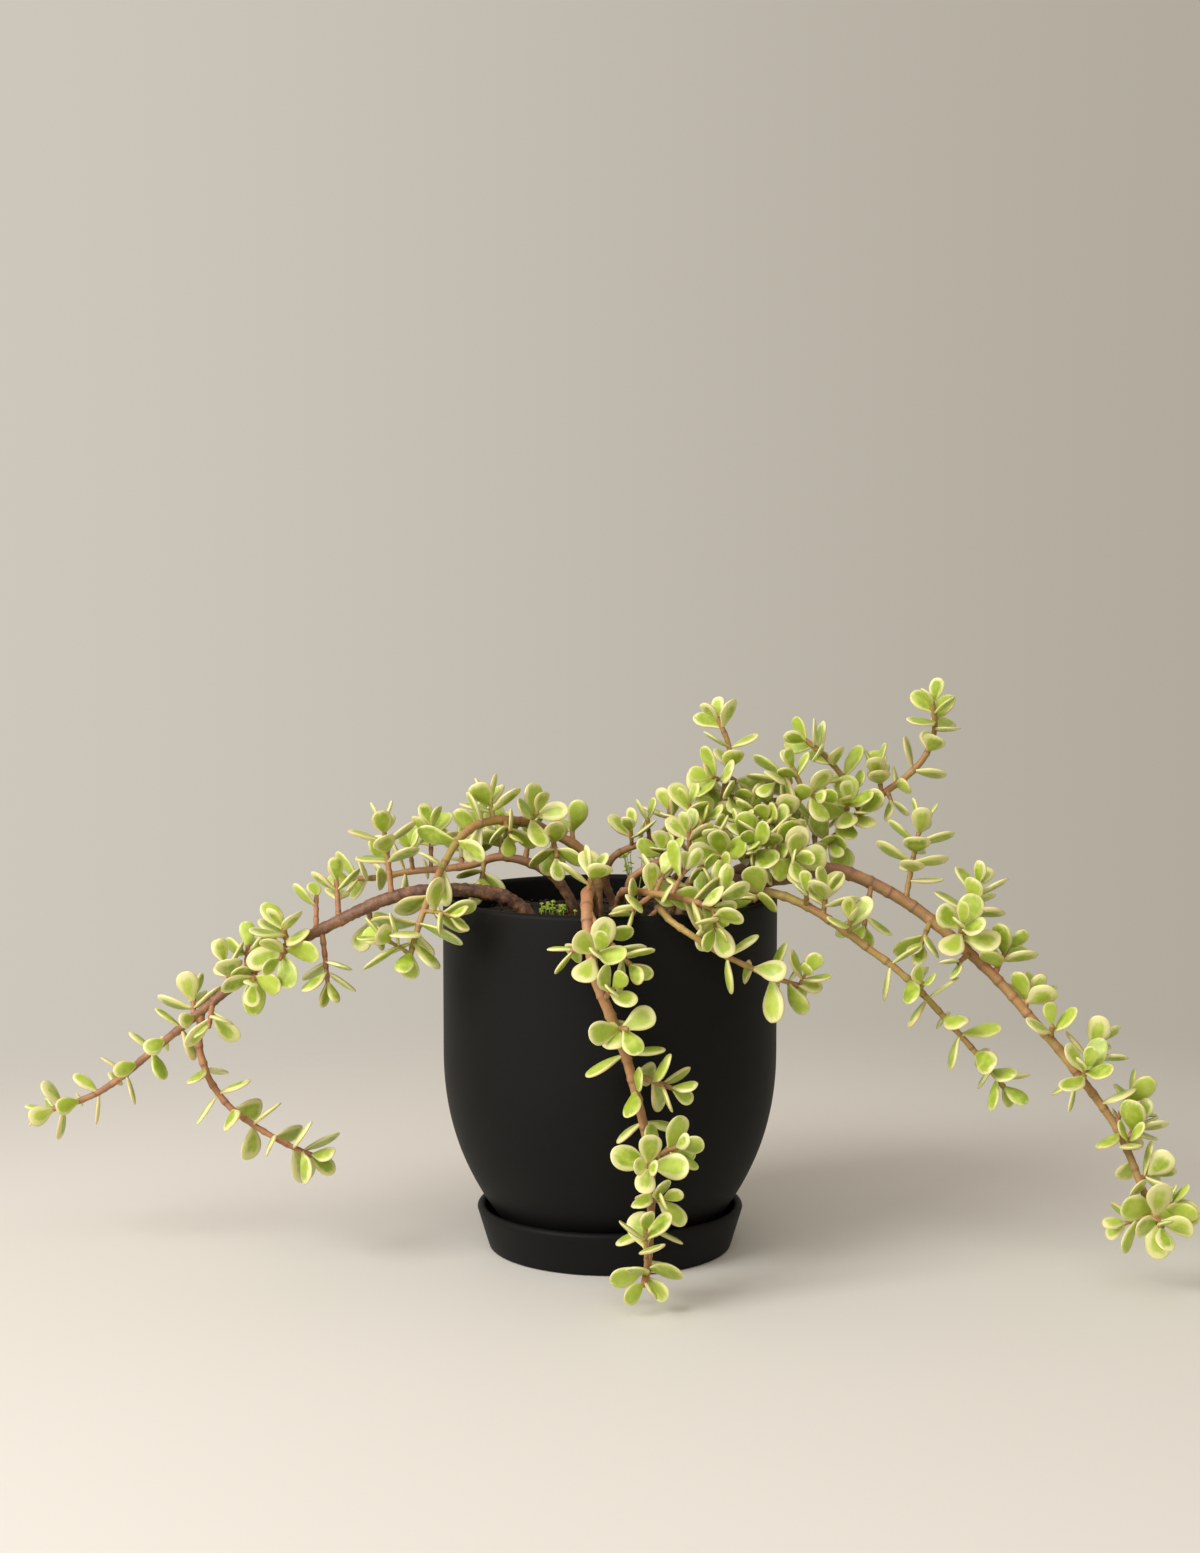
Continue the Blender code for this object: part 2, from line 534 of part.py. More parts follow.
def solid_object(name, verts, faces, material, collection=None):
    """An object in metres from points in millimetres, with its faces pointing out."""
    mesh = bpy.data.meshes.new(name)
    mesh.from_pydata([v * MM for v in verts], [], faces)
    shell = bmesh.new()
    shell.from_mesh(mesh)
    bmesh.ops.recalc_face_normals(shell, faces=shell.faces)
    bmesh.ops.triangulate(shell, faces=[f for f in shell.faces if len(f.verts) > 3])
    shell.to_mesh(mesh)
    shell.free()
    mesh.materials.append(material)
    made = bpy.data.objects.new(name, mesh)
    (collection or bpy.context.scene.collection).objects.link(made)
    return made


def joined(base, others, operation):
    """The base with one Boolean against a collection, applied, and the collection's objects removed."""
    modifier = base.modifiers.new(operation.lower(), "BOOLEAN")
    modifier.operation = operation
    modifier.operand_type = "COLLECTION"
    modifier.collection = others
    graph = bpy.context.evaluated_depsgraph_get()
    mesh = bpy.data.meshes.new_from_object(base.evaluated_get(graph))
    base.modifiers.clear()
    base.data = mesh
    for used in list(others.objects):
        bpy.data.objects.remove(used)
    bpy.data.collections.remove(others)
    return base


def working_collection(name):
    made = bpy.data.collections.new(name)
    bpy.context.scene.collection.children.link(made)
    return made


def make_turned_pieces(ceramic, soil):
    """Saucer, pot and soil, and the points and faces of each for keeping leaves clear."""
    shapes = {
        "saucer": (turned(saucer_profile()), ceramic),
        "pot": (turned(pot_profile(), closed=True), ceramic),
        "soil": (turned(soil_profile()), soil),
    }
    top = [v for v in shapes["soil"][0][0] if v.z > SOIL_TOP - 2]
    for v in top:
        v.z += soil_bump(v.x, v.y)
    for name, ((verts, faces), material) in shapes.items():
        made = solid_object(name, verts, faces, material)
        made.data.shade_smooth()
        made.data.set_sharp_from_angle(angle=math.radians(35))
    return [shape for shape, _ in shapes.values()]


def cut_stem_holes():
    """A plain hole in the soil for the foot of each stem."""
    cutters = working_collection("stem_hole_cutters")
    for name, grown_limb in LIMBS.items():
        x, y, _ = grown_limb.route[0]
        radius = grown_limb.thick[0] + HOLE_PLAY
        hole = Tube([Vector((x, y, STEM_FOOT - 1.5)), Vector((x, y, SOIL_TOP + 12))], [radius, radius], 8)
        solid_object("hole_" + name, *tube_solid(hole), bpy.data.materials["potting mix"], cutters)
    joined(bpy.data.objects["soil"], cutters, "DIFFERENCE")


def grow_plant(space):
    """Every limb's tubes, then every limb's leaves, each kept clear of all that grew before it."""
    tubes = {name: tubes_of(grown_limb) for name, grown_limb in LIMBS.items()}
    for limb_tubes in tubes.values():
        for tube in flat(limb_tubes):
            space.add(*tube_solid(tube))
    return {name: (flat(tubes[name]), leaves_of(grown_limb, tubes[name], space, random.Random(LIMB_SEEDS[name])))
            for name, grown_limb in LIMBS.items()}


def make_stem(name, tubes, leaves, material):
    """One fused solid: the main tube with its shoots, branches and leaves."""
    pieces = working_collection(name + "_pieces")
    for i, tube in enumerate(tubes[1:]):
        solid_object(f"{name}_shoot_{i}", *tube_solid(tube), material, pieces)
    for i, leaf in enumerate(leaves):
        solid_object(f"{name}_leaf_{i}", *leaf_solid(leaf), material, pieces)
    stem = solid_object(name, *tube_solid(tubes[0]), material)
    joined(stem, pieces, "UNION")


def main():
    for old in list(bpy.data.objects):
        bpy.data.objects.remove(old)
    ceramic = finish("matte black ceramic", (0.012, 0.012, 0.013), 0.62)
    soil = finish("potting mix", (0.03, 0.02, 0.014), 0.95)
    leafy = finish("variegated leaf and stem", (0.42, 0.55, 0.16), 0.45)
    space = Space()
    for verts, faces in make_turned_pieces(ceramic, soil):
        space.add(verts, faces)
    cut_stem_holes()
    for name, (tubes, leaves) in grow_plant(space).items():
        make_stem(name, tubes, thinned(leaves, 2 * LIMBS[name].crown), leafy)


main()
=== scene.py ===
"""Looks of the trailing elephant bush: finer pot, soil, stems and leaves in the frame of its solids."""

import math
import random
from collections import namedtuple

import bpy
import numpy as np
from mathutils import Matrix, Vector, noise
from mathutils.bvhtree import BVHTree


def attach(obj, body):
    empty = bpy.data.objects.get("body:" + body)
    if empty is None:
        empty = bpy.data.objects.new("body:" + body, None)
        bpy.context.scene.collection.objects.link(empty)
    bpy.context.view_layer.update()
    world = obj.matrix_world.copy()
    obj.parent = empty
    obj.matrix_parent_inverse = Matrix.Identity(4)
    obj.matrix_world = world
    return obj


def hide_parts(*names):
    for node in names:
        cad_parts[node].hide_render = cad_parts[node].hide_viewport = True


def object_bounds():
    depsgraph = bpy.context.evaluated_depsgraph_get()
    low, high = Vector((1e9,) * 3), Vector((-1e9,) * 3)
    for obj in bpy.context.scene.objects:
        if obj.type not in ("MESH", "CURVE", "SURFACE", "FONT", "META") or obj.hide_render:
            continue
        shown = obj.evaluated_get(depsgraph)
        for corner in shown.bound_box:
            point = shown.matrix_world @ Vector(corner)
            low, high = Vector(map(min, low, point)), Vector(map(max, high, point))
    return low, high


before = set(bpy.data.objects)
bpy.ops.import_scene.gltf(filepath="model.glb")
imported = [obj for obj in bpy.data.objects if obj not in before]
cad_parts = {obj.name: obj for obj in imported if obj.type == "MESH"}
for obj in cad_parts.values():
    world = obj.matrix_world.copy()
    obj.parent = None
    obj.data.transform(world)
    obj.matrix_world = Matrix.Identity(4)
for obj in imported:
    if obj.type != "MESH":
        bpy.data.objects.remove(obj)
CAD_LOW, CAD_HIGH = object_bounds()

MM = 0.001
GAP = 0.35

# Saucer: a shallow dish with a flat underside
SAUCER_BASE_RADIUS = 58.5
SAUCER_RIM_RADIUS = 64.0
SAUCER_HEIGHT = 21.0
SAUCER_FLOOR = 4.0
SAUCER_INSIDE_RADIUS = 57.0

# Pot: straight above its belly line, rounded in to a narrow foot below it
POT_RADIUS = 80.0
POT_RIM = 170.2
POT_BELLY_LINE = 95.0
POT_WALL = 4.5
POT_BASE = SAUCER_FLOOR + GAP
POT_FOOT_RADIUS = 46.0
POT_FOOT_RECESS = 2.0
POT_FLOOR = 11.5
FOOT_ROUNDING = 1.2
DRAIN_RADIUS = 7.0

# Soil: potting mix filled to a little below the rim
SOIL_TOP = 158.5
SOIL_BUMP = 1.3
SOIL_PLAY = GAP + 0.15
STEM_FOOT = 148.5

TURN_SEGMENTS = 32

# Leaf: a fleshy spoon shape, narrow at its neck and widest past its middle
LEAF_LENGTH = 16.5
LEAF_ASPECT = 0.7
LEAF_THICKNESS = 2.3
LEAF_WIDEST = 0.66
LEAF_THICKEST = 0.42
LEAF_TIP_WIDTH = 0.46
LEAF_ROOT_DEPTH = 0.6
LEAF_CLEARANCE = 0.45
FLOOR_CLEARANCE = 1.5

# Growth: pairs of leaves stand crosswise to the pair before, closest and smallest at a tip
PAIR_SIZES = (0.66, 0.9, 1.03, 1.06, 1.02, 0.98, 0.94)
PAIR_ANGLES = (32, 56, 71, 79, 83, 85, 87)
PAIR_STEP = 4.6
STEM_PAIR_ANGLE = 70
MISSING_LEAF_SHARE = 0.08
LEAF_LIFT = 0.07
LEAF_ROLL = 0.35
TWIST = 0.3
UPRIGHT = 0.55
SHOOT_RADIUS = 1.35
SHOOT_TIP_RADIUS = 1.05
MAIN_SIDES = 5
SHOOT_SIDES = 4
MAIN_STEP = 15.0
SHOOT_STEP = 9.0
OLD_REACH = 45

# A stem or a branch: its route above the soil, its side shoots as (x, y, z, pairs) of their tips, its radii
# at foot and tip, the length from its tip with leaf pairs, their spacing, the pairs crowded at the tip, the
# size of its leaves, how green its bark is at foot and tip, the reach of its dark old wood from its foot,
# and its long branches
Limb = namedtuple("Limb", "route shoots thick leafy spacing crown size young old branches",
                  defaults=(0, 11, 3, 1.0, (0, 0), OLD_REACH, ()))
Tube = namedtuple("Tube", "points radii sides")
Leaf = namedtuple("Leaf", "place length width thickness curl stalk")

LIMBS = {
    "stem_left_long": Limb(
        [(-37, -24, 161.5), (-43, -27, 169.5), (-53, -30, 174), (-68, -34, 176.5), (-97, -36, 175),
         (-126, -36, 162.5), (-160, -34, 144), (-187, -30, 122.5), (-214, -26, 100.5), (-238, -22, 80.5),
         (-260, -18, 70.5), (-270, -17, 68)],
        [(-106, -30, 208.5, 5), (-128, -30, 181.5, 3), (-152, -38, 161.5, 4), (-152, -50, 146.5, 3),
         (-131, -42, 133.5, 3), (-181, -30, 142.5, 3), (-165, -47, 134.5, 3), (-197, -22, 125.5, 3),
         (-186, -44, 113.5, 3), (-112, -24, 156.5, 2), (-138, -24, 172.5, 2), (-171, -20, 148.5, 2)],
        (3.8, 1.3), leafy=84, spacing=9, size=0.84, young=(0.0, 0.1), old=330,
        branches=[
            Limb([(-192, -29, 117.5), (-194, -28, 103.5), (-192, -29, 94.5), (-187, -31, 83),
                  (-177.5, -34, 72.5), (-165, -38, 65), (-152, -42, 58.5), (-138, -46, 53.5)],
                 [], (1.9, 1.2), leafy=58, spacing=12, size=1.12),
        ]),
    "stem_left_back": Limb(
        [(-18, 14, 164.5), (-28, 14, 178.5), (-40, 14, 184.5), (-50, 16, 187.5), (-58, 17, 185.5),
         (-72, 18, 180.5), (-90, 20, 179.5), (-105, 20, 177.5), (-122, 18, 173.5), (-128, 16, 175.5)],
        [(-87, 20, 201.5, 3), (-97, 14, 191.5, 2), (-53, 18, 198.5, 3), (-38, 18, 200.5, 3),
         (-72, 27, 191.5, 3), (-110, 26, 186.5, 2), (-62, 8, 175.5, 2), (-64, 28, 200.5, 2)],
        (2.8, 1.3), leafy=26, spacing=10, young=(0.1, 0.4), old=70),
    "stem_arch_left": Limb(
        [(-6, -6, 164.5), (-7, -6, 184.5), (-16, -7, 194.5), (-27, -9, 200.5), (-43, -14, 207.5),
         (-58, -22, 207.5), (-67, -30, 204.5), (-72, -37, 198.5), (-77, -44, 189.5), (-81, -50, 181.5),
         (-84, -54, 173.5), (-87, -58, 165.5), (-89, -61, 157.5), (-91, -63, 150.5)],
        [(-57, -18, 218.5, 3), (-34, -22, 211.5, 3), (-25, -26, 190.5, 3), (-72, -66, 168.5, 3),
         (-105, -67, 159.5, 3), (-47, -24, 200.5, 2), (-18, -2, 205.5, 2)],
        (2.9, 1.4), leafy=90, spacing=17, crown=4, size=1.14, young=(0.0, 1.0), old=30),
    "stem_front_hanging": Limb(
        [(-8, -37, 164.5), (-9, -50, 175.5), (-10, -66, 180.5), (-11, -82, 177.5), (-10, -92, 166.5),
         (-9, -95, 152.5), (-6, -96, 142.5), (-1, -96, 130.5), (4, -96, 118.5), (8, -96, 106),
         (11.5, -96, 92.5), (13.5, -96, 81.5), (16.5, -96, 72.5), (18, -97, 56.5), (18, -98, 44.5),
         (17.5, -100, 32.5), (17, -103, 22.5), (16, -107, 16), (15, -112, 13.6), (14.5, -117, 13.2)],
        [(-8, -74, 190.5, 3), (-6, -108, 159.5, 3), (1, -108, 142.5, 2), (7, -112, 125.5, 3),
         (16, -112, 64.5, 3), (15, -113, 37.5, 3), (23, -106, 48.5, 2), (-18, -92, 156.5, 2),
         (30, -104, 71.5, 3)],
        (3.2, 1.7), leafy=118, spacing=17, crown=4, young=(0.1, 0.3), old=25,
        branches=[
            Limb([(-10, -86, 173.5), (-5, -94, 166.5), (2, -98, 157.5), (9, -101, 151.5)],
                 [], (1.5, 1.1), leafy=10, spacing=9),
            Limb([(11, -96, 102), (18, -98, 98), (28, -100, 96.5)],
                 [], (1.6, 1.1), leafy=10, spacing=8),
        ]),
    "stem_front_right": Limb(
        [(4, -30, 164.5), (4, -36, 173.5), (7, -51, 178.5), (15, -66, 179.5), (25, -76, 179.5),
         (36, -82, 178), (46, -85, 174.5)],
        [(34, -68, 190.5, 3), (24, -66, 188.5, 2), (46, -96, 166.5, 3), (9, -80, 172.5, 2),
         (50, -76, 182.5, 2)],
        (2.4, 1.4), leafy=24, spacing=9, crown=4, young=(0.15, 0.4)),
    "stem_front_thin": Limb(
        [(22, -47, 164.5), (21, -53, 170.5), (22, -65, 172.5), (23, -77, 172), (28, -88, 168),
         (36, -91, 163.5), (43, -89, 158.5), (52, -87, 153), (61, -83, 148.5), (68, -79, 144.5),
         (75, -75, 141.5), (85, -70, 137.5)],
        [(14, -68, 165.5, 1), (50, -92, 162.5, 1), (88, -76, 144.5, 2)],
        (1.8, 1.2), leafy=44, spacing=13, crown=4, young=(1.0, 0.45)),
    "stem_mid_upper": Limb(
        [(2, 14, 164.5), (-4, 8, 178.5), (-1, 6, 186.5), (8, 6, 191.5), (19, 7, 195), (31, 8, 196.5),
         (42, 9, 199.5)],
        [(38, 4, 213.5, 3), (18, 4, 206.5, 1), (28, 14, 210.5, 2), (30, 20, 188.5, 2), (10, 2, 201.5, 2),
         (46, 0, 206.5, 2)],
        (2.2, 1.3), leafy=22, spacing=9, size=0.86, young=(0.1, 0.2)),
    "stem_mid_lower": Limb(
        [(10, -7, 164.5), (8, -12, 177.5), (15, -14, 184.5), (25, -16, 188), (37, -18, 190.5),
         (50, -19, 191.5), (62, -20, 191.5), (74, -22, 190.5), (82, -25, 189.5)],
        [(37, -20, 203.5, 2), (51, -33, 191.5, 3), (62, -15, 203.5, 3), (86, -36, 191.5, 4),
         (73, -22, 204.5, 3), (24, -26, 194.5, 2), (66, -36, 198.5, 3), (50, -24, 202.5, 2),
         (81, -12, 203.5, 3), (43, -30, 185.5, 2)],
        (2.4, 1.3), leafy=20, spacing=8, crown=4, size=0.9, young=(0.05, 0.35)),
    "stem_right_back": Limb(
        [(34, 6, 164.5), (39, 3, 177.5), (51, 3, 187.5), (67, 4, 195.5), (78, 4, 202.5), (87, 4, 208.5),
         (93, 4, 214.5), (92, 4, 222.5), (87, 4, 231.5)],
        [(78, 2, 222.5, 5), (85, -10, 205.5, 3), (67, 2, 213.5, 3), (99, -3, 217.5, 2),
         (62, 12, 207.5, 3), (52, -2, 200.5, 2), (74, -8, 206.5, 3), (80, 14, 214.5, 2)],
        (2.4, 1.2), leafy=24, spacing=9, size=0.88, young=(0.6, 0.95)),
    "stem_right_low": Limb(
        [(45, -13, 164.5), (50, -21, 173.5), (62, -27, 176), (71, -31, 176), (81, -35, 174),
         (90, -38, 170.5), (103, -42, 162.5), (115, -45, 153.5), (126, -47, 146.5), (133, -48, 140.5),
         (143, -49, 131.5), (153, -50, 120.5), (161, -50, 111.5), (168, -51, 104), (175, -51, 95.5),
         (182, -51, 86.5)],
        [(66, -43, 172.5, 3), (100, -42, 177.5, 3), (110, -50, 165.5, 2), (143, -56, 136.5, 1),
         (90, -48, 177.5, 1)],
        (2.6, 1.2), leafy=66, spacing=12, young=(0.65, 0.8)),
    "stem_right_long": Limb(
        [(30, 20, 164.5), (44, 9, 172.5), (61, -3, 177), (73, -8, 177.5), (88, -11, 180),
         (101, -13, 184.5), (110, -14, 183), (121, -16, 179), (130, -18, 174.5), (141, -21, 168.5),
         (150, -24, 161.5), (160, -28, 153.5), (169, -32, 145.5), (183, -38, 132.5), (191, -42, 122),
         (200, -46, 112.5), (208, -50, 103.5), (217, -54, 91), (226, -58, 79.5), (233, -62, 68.5),
         (238, -66, 56.5), (241, -71, 46.5), (243.5, -77, 39), (245, -84, 35), (245.5, -91, 33.5),
         (245, -97, 33.5)],
        [(119, -27, 157.5, 2), (147, -14, 206.5, 7), (162, -44, 162.5, 4), (173, -26, 178.5, 4),
         (145, -34, 150.5, 2), (161, -44, 143.5, 1), (186, -32, 149.5, 4), (195, -40, 129.5, 3),
         (226, -46, 108.5, 3), (217, -62, 98.5, 3), (213, -52, 87.5, 1), (241, -52, 84.5, 3),
         (243, -60, 72.5, 4), (247, -68, 51.5, 3), (231, -84, 31.5, 2), (254, -82, 40.5, 2),
         (236, -68, 66.5, 2), (203, -54, 116.5, 2)],
        (4.0, 1.5), leafy=62, spacing=15, crown=4, size=1.05, young=(0.2, 0.6), old=170),
    "stem_upper_right": Limb(
        [(46, 30, 164.5), (58, 28, 176.5), (76, 25, 184.5), (92, 22, 187.5), (104, 21, 190.5),
         (113, 22, 197.5), (122, 24, 207.5), (130, 24, 214.5), (140, 24, 221), (150, 24, 228.5),
         (155.5, 24, 237.5), (158.5, 24, 246.5), (158, 22, 254.5), (156, 18, 261)],
        [(130, 24, 229.5, 3), (137, 20, 212.5, 1), (114, 8, 214.5, 5), (106, 6, 193.5, 3),
         (88, 16, 200.5, 3), (104, 30, 202.5, 2), (98, 14, 205.5, 2), (121, 12, 207.5, 2)],
        (2.9, 1.3), leafy=36, spacing=12, crown=4, size=0.97, young=(0.15, 0.5), old=130,
        branches=[
            Limb([(122, 24, 207.5), (118, 20, 216.5), (114, 18, 224.5), (109, 17, 230.5),
                  (102, 16, 237.5), (94, 14, 243.5)],
                 [], (1.7, 1.2), leafy=28, spacing=9),
        ]),
    "stem_centre_up": Limb(
        [(24, 36, 164.5), (36, 26, 178.5), (48, 16, 190.5), (55, 12, 200.5), (54, 10, 212.5),
         (56, 10, 225.5), (59, 10, 234.5), (56.5, 10, 244.5), (51.5, 10, 254.5)],
        [(48, 4, 226.5, 3), (66, 8, 209.5, 3), (60, 0, 216.5, 2), (44, 6, 212.5, 2), (65, 14, 221.5, 2)],
        (2.4, 1.2), leafy=46, spacing=11, crown=2, size=0.97, young=(0.35, 0.45)),
}
LIMB_SEEDS = {name: 11 + 7 * count for count, name in enumerate(LIMBS)}


# Growth of one limb into tubes and leaves


def spline(points, step):
    """Points at about equal steps along a smooth curve through the route's points."""
    route = [Vector(p) for p in points]
    ends = [2 * route[0] - route[1], *route, 2 * route[-1] - route[-2]]
    fine = []
    for a, b, c, d in zip(ends, ends[1:], ends[2:], ends[3:]):
        for t in (0, 0.2, 0.4, 0.6, 0.8):
            tt, ttt = t**2, t**3
            fine.append(0.5 * (2 * b + (c - a) * t + (2 * a - 5 * b + 4 * c - d) * tt
                               + (3 * b - a - 3 * c + d) * ttt))
    fine.append(route[-1])
    return spaced(fine, step)


def spaced(points, step):
    """The same line with its points a whole number of equal steps apart."""
    lengths = [0.0]
    for a, b in zip(points, points[1:]):
        lengths.append(lengths[-1] + (b - a).length)
    count = max(1, round(lengths[-1] / step))
    return [point_at(points, lengths, lengths[-1] * i / count) for i in range(count + 1)]


def point_at(points, lengths, distance):
    i = next((i for i in range(1, len(points)) if distance <= lengths[i]), len(points) - 1)
    share = (distance - lengths[i - 1]) / max(lengths[i] - lengths[i - 1], 1e-9)
    return points[i - 1].lerp(points[i], min(share, 1.0))


def walk(points, distance_from_tip):
    """The point and the direction towards the tip, at a distance back from the tip."""
    left = distance_from_tip
    for a, b in zip(points[-2::-1], points[:0:-1]):
        span = (b - a).length
        if left <= span:
            return b.lerp(a, left / span), (b - a).normalized()
        left -= span
    return points[0].copy(), (points[1] - points[0]).normalized()


def line_length(points):
    return sum((b - a).length for a, b in zip(points, points[1:]))


def tapered(points, thick, sides):
    """A tube along the points whose radius falls evenly from thick[0] to thick[1]."""
    last = len(points) - 1
    return Tube(points, [thick[0] + (thick[1] - thick[0]) * i / last for i in range(last + 1)], sides)


def side_of(direction, roll):
    """A unit vector square to the direction, turned about it by roll from the level one."""
    level = direction.cross(Vector((0, 0, 1)))
    if level.length < 0.2:
        level = direction.cross(Vector((0, 1, 0)))
    return Matrix.Rotation(roll, 3, direction) @ level.normalized()


def leaf_at(point, direction, side, angle, size, radius, chance):
    """A leaf whose root is inside the stem, held at an angle to it with its upper face to the tip."""
    out = direction * math.cos(angle) + side * math.sin(angle)
    out = (out + Vector((0, 0, LEAF_LIFT))).normalized()
    normal = (direction - direction.dot(out) * out).normalized()
    normal = Matrix.Rotation(chance.uniform(-LEAF_ROLL, LEAF_ROLL), 3, out) @ normal
    across = normal.cross(out)
    facing = Matrix((out, across, normal)).transposed().to_4x4()
    place = Matrix.Translation(point + side * radius * 0.25) @ facing
    length = LEAF_LENGTH * size * chance.uniform(0.88, 1.12) + radius
    width = LEAF_LENGTH * LEAF_ASPECT * size * chance.uniform(0.9, 1.1)
    thickness = LEAF_THICKNESS * (0.55 + 0.45 * size)
    return Leaf(place, length, width, thickness, chance.uniform(0.4, 1.6), radius)


# How far a leaf is lifted and swung, in radians, and shrunk at each try to find it a place
LEAF_TRIES = (
    (0, 0, 1), (-0.25, 0, 1), (0.2, 0.3, 1), (-0.1, -0.35, 1), (-0.4, 0.2, 0.95), (0.1, 0.7, 0.9),
    (0.1, -0.7, 0.9), (-0.5, -0.3, 0.85), (0.3, 0.5, 0.8), (-0.2, -1.0, 0.8), (0, 0.2, 0.7),
    (-0.3, 1.2, 0.75),
)


def leaf_pair(point, direction, roll, angle, size, radius, space, chance):
    """Up to two opposite leaves, each tried in a few positions until it is clear of all that is there."""
    grown = []
    for turn in (0, math.pi):
        missing = chance.random() < MISSING_LEAF_SHARE
        seed = chance.random()
        if missing:
            continue
        for tries, (lift, swing, shrink) in enumerate(LEAF_TRIES):
            draw = random.Random(seed * 1000 + tries)
            side = side_of(direction, roll + turn + swing)
            leaf = leaf_at(point, direction, side, angle + lift, size * shrink, radius, draw)
            if space.has_room(leaf):
                space.add(*leaf_solid(leaf))
                grown.append(leaf)
                break
    return grown


def crowded_pairs(points, pairs, size, radius, space, chance):
    """The rosette at a tip: leaf pairs closer and smaller towards it, each crosswise to the last."""
    roll = chance.uniform(0, math.pi)
    step = min(PAIR_STEP, max(line_length(points) - 2.5, 3.0) / pairs)
    grown = []
    for i in range(pairs):
        point, direction = walk(points, 0.9 + i * step)
        age = min(i, len(PAIR_ANGLES) - 1)
        angle = math.radians(PAIR_ANGLES[age])
        crosswise = roll + i * math.pi / 2
        here = size * PAIR_SIZES[age]
        grown += leaf_pair(point, direction, crosswise, angle, here, radius, space, chance)
    return grown


def stem_pairs(tube, limb, space, chance):
    """Pairs straight on the stem, from past its crowded tip back along its leafy length."""
    points, radii = tube.points, tube.radii
    total = line_length(points)
    crowded, spacing = PAIR_STEP * limb.crown, limb.spacing
    distance = crowded + spacing * 0.6
    turn = 0
    grown = []
    while distance < crowded + limb.leafy:
        point, direction = walk(points, distance)
        radius = radii[-1] + (radii[0] - radii[-1]) * distance / total
        roll = math.pi / 2 * (turn % 2) + chance.uniform(-TWIST, TWIST)
        angle = math.radians(STEM_PAIR_ANGLE + chance.uniform(-12, 12))
        size = limb.size * chance.uniform(0.8, 1.02)
        grown += leaf_pair(point, direction, roll, angle, size, radius, space, chance)
        distance += spacing * chance.uniform(0.85, 1.15)
        turn += 1
    return grown


def shoot_tube(parent, tip):
    """A short side shoot to its tip, from the place on the parent that leaves it fairly upright."""
    tip = Vector(tip)
    line = spaced(parent.points, 3.0)
    apart = [((point - tip) * Vector((1, 1, UPRIGHT))).length for point in line]
    nearest = apart.index(min(apart))
    base = line[nearest]
    middle = base.lerp(tip, 0.5) + Vector((0, 0, 0.06 * (base - tip).length))
    here = parent.radii[0] + (parent.radii[-1] - parent.radii[0]) * nearest / (len(line) - 1)
    radius = min(SHOOT_RADIUS, 0.62 * here)
    radii = (radius, min(SHOOT_TIP_RADIUS, radius))
    return tapered(spaced([base, middle, tip], SHOOT_STEP), radii, SHOOT_SIDES)


def tubes_of(limb):
    """The limb's own tube first, then its shoots, then each branch's tubes in the same order."""
    main = tapered(spline(limb.route, MAIN_STEP), limb.thick, MAIN_SIDES)
    shoots = [shoot_tube(main, shoot[:3]) for shoot in limb.shoots]
    return [main, shoots, [tubes_of(branch) for branch in limb.branches]]


def rooted(limb):
    """The limb with its foot in the soil, straight below where its route starts."""
    x, y, _ = limb.route[0]
    return limb._replace(route=[(x, y, STEM_FOOT), *limb.route])


def flat(tubes):
    main, shoots, branches = tubes
    return [main, *shoots, *(tube for branch in branches for tube in flat(branch))]


def leaves_of(limb, tubes, space, chance):
    main, shoots, branches = tubes
    grown = crowded_pairs(main.points, limb.crown, limb.size, main.radii[-1], space, chance)
    for shoot, tube in zip(limb.shoots, shoots):
        grown += crowded_pairs(tube.points, shoot[3], 1.0, tube.radii[-1], space, chance)
    for branch, branch_tubes in zip(limb.branches, branches):
        grown += leaves_of(branch, branch_tubes, space, chance)
    return grown + stem_pairs(main, limb, space, chance)


def ball(points):
    """The middle of the points and their reach from it."""
    centre = sum(points, Vector()) / len(points)
    return centre, max((p - centre).length for p in points)


class Space:
    """What is already there, for a new leaf to be kept clear of."""

    def __init__(self):
        self.taken = []

    def add(self, points, faces):
        self.taken.append((BVHTree.FromPolygons(points, faces), *ball(points)))

    def has_room(self, leaf):
        start = min(0.4 * leaf.length, leaf.stalk + 1.3)
        points, faces = leaf_solid(leaf, LEAF_CLEARANCE, start)
        if min(p.z for p in points) < FLOOR_CLEARANCE:
            return False
        centre, reach = ball(points)
        tree = BVHTree.FromPolygons(points, faces)
        for other, other_centre, other_reach in self.taken:
            if (other_centre - centre).length < reach + other_reach and tree.overlap(other):
                return False
        return True


def leaf_solid(leaf, grow=0.0, start=None):
    """The leaf with few faces: a pointed root, four outline corners and a high point on each face."""
    length, half_width, half_depth = leaf.length, leaf.width / 2 + grow, leaf.thickness / 2 + grow
    root = -LEAF_ROOT_DEPTH if start is None else start

    def lifted(u):
        return leaf.curl * u * u

    corners = [
        (root, 0, 0),
        (LEAF_WIDEST * length, half_width, lifted(LEAF_WIDEST)),
        (length + grow, half_width * LEAF_TIP_WIDTH, lifted(1)),
        (length + grow, -half_width * LEAF_TIP_WIDTH, lifted(1)),
        (LEAF_WIDEST * length, -half_width, lifted(LEAF_WIDEST)),
        (LEAF_THICKEST * length, 0, lifted(LEAF_THICKEST) + half_depth),
        (LEAF_THICKEST * length, 0, lifted(LEAF_THICKEST) - half_depth),
    ]
    faces = []
    for i in range(5):
        faces.append((5, i, (i + 1) % 5))
        faces.append((6, (i + 1) % 5, i))
    return [leaf.place @ Vector(c) for c in corners], faces


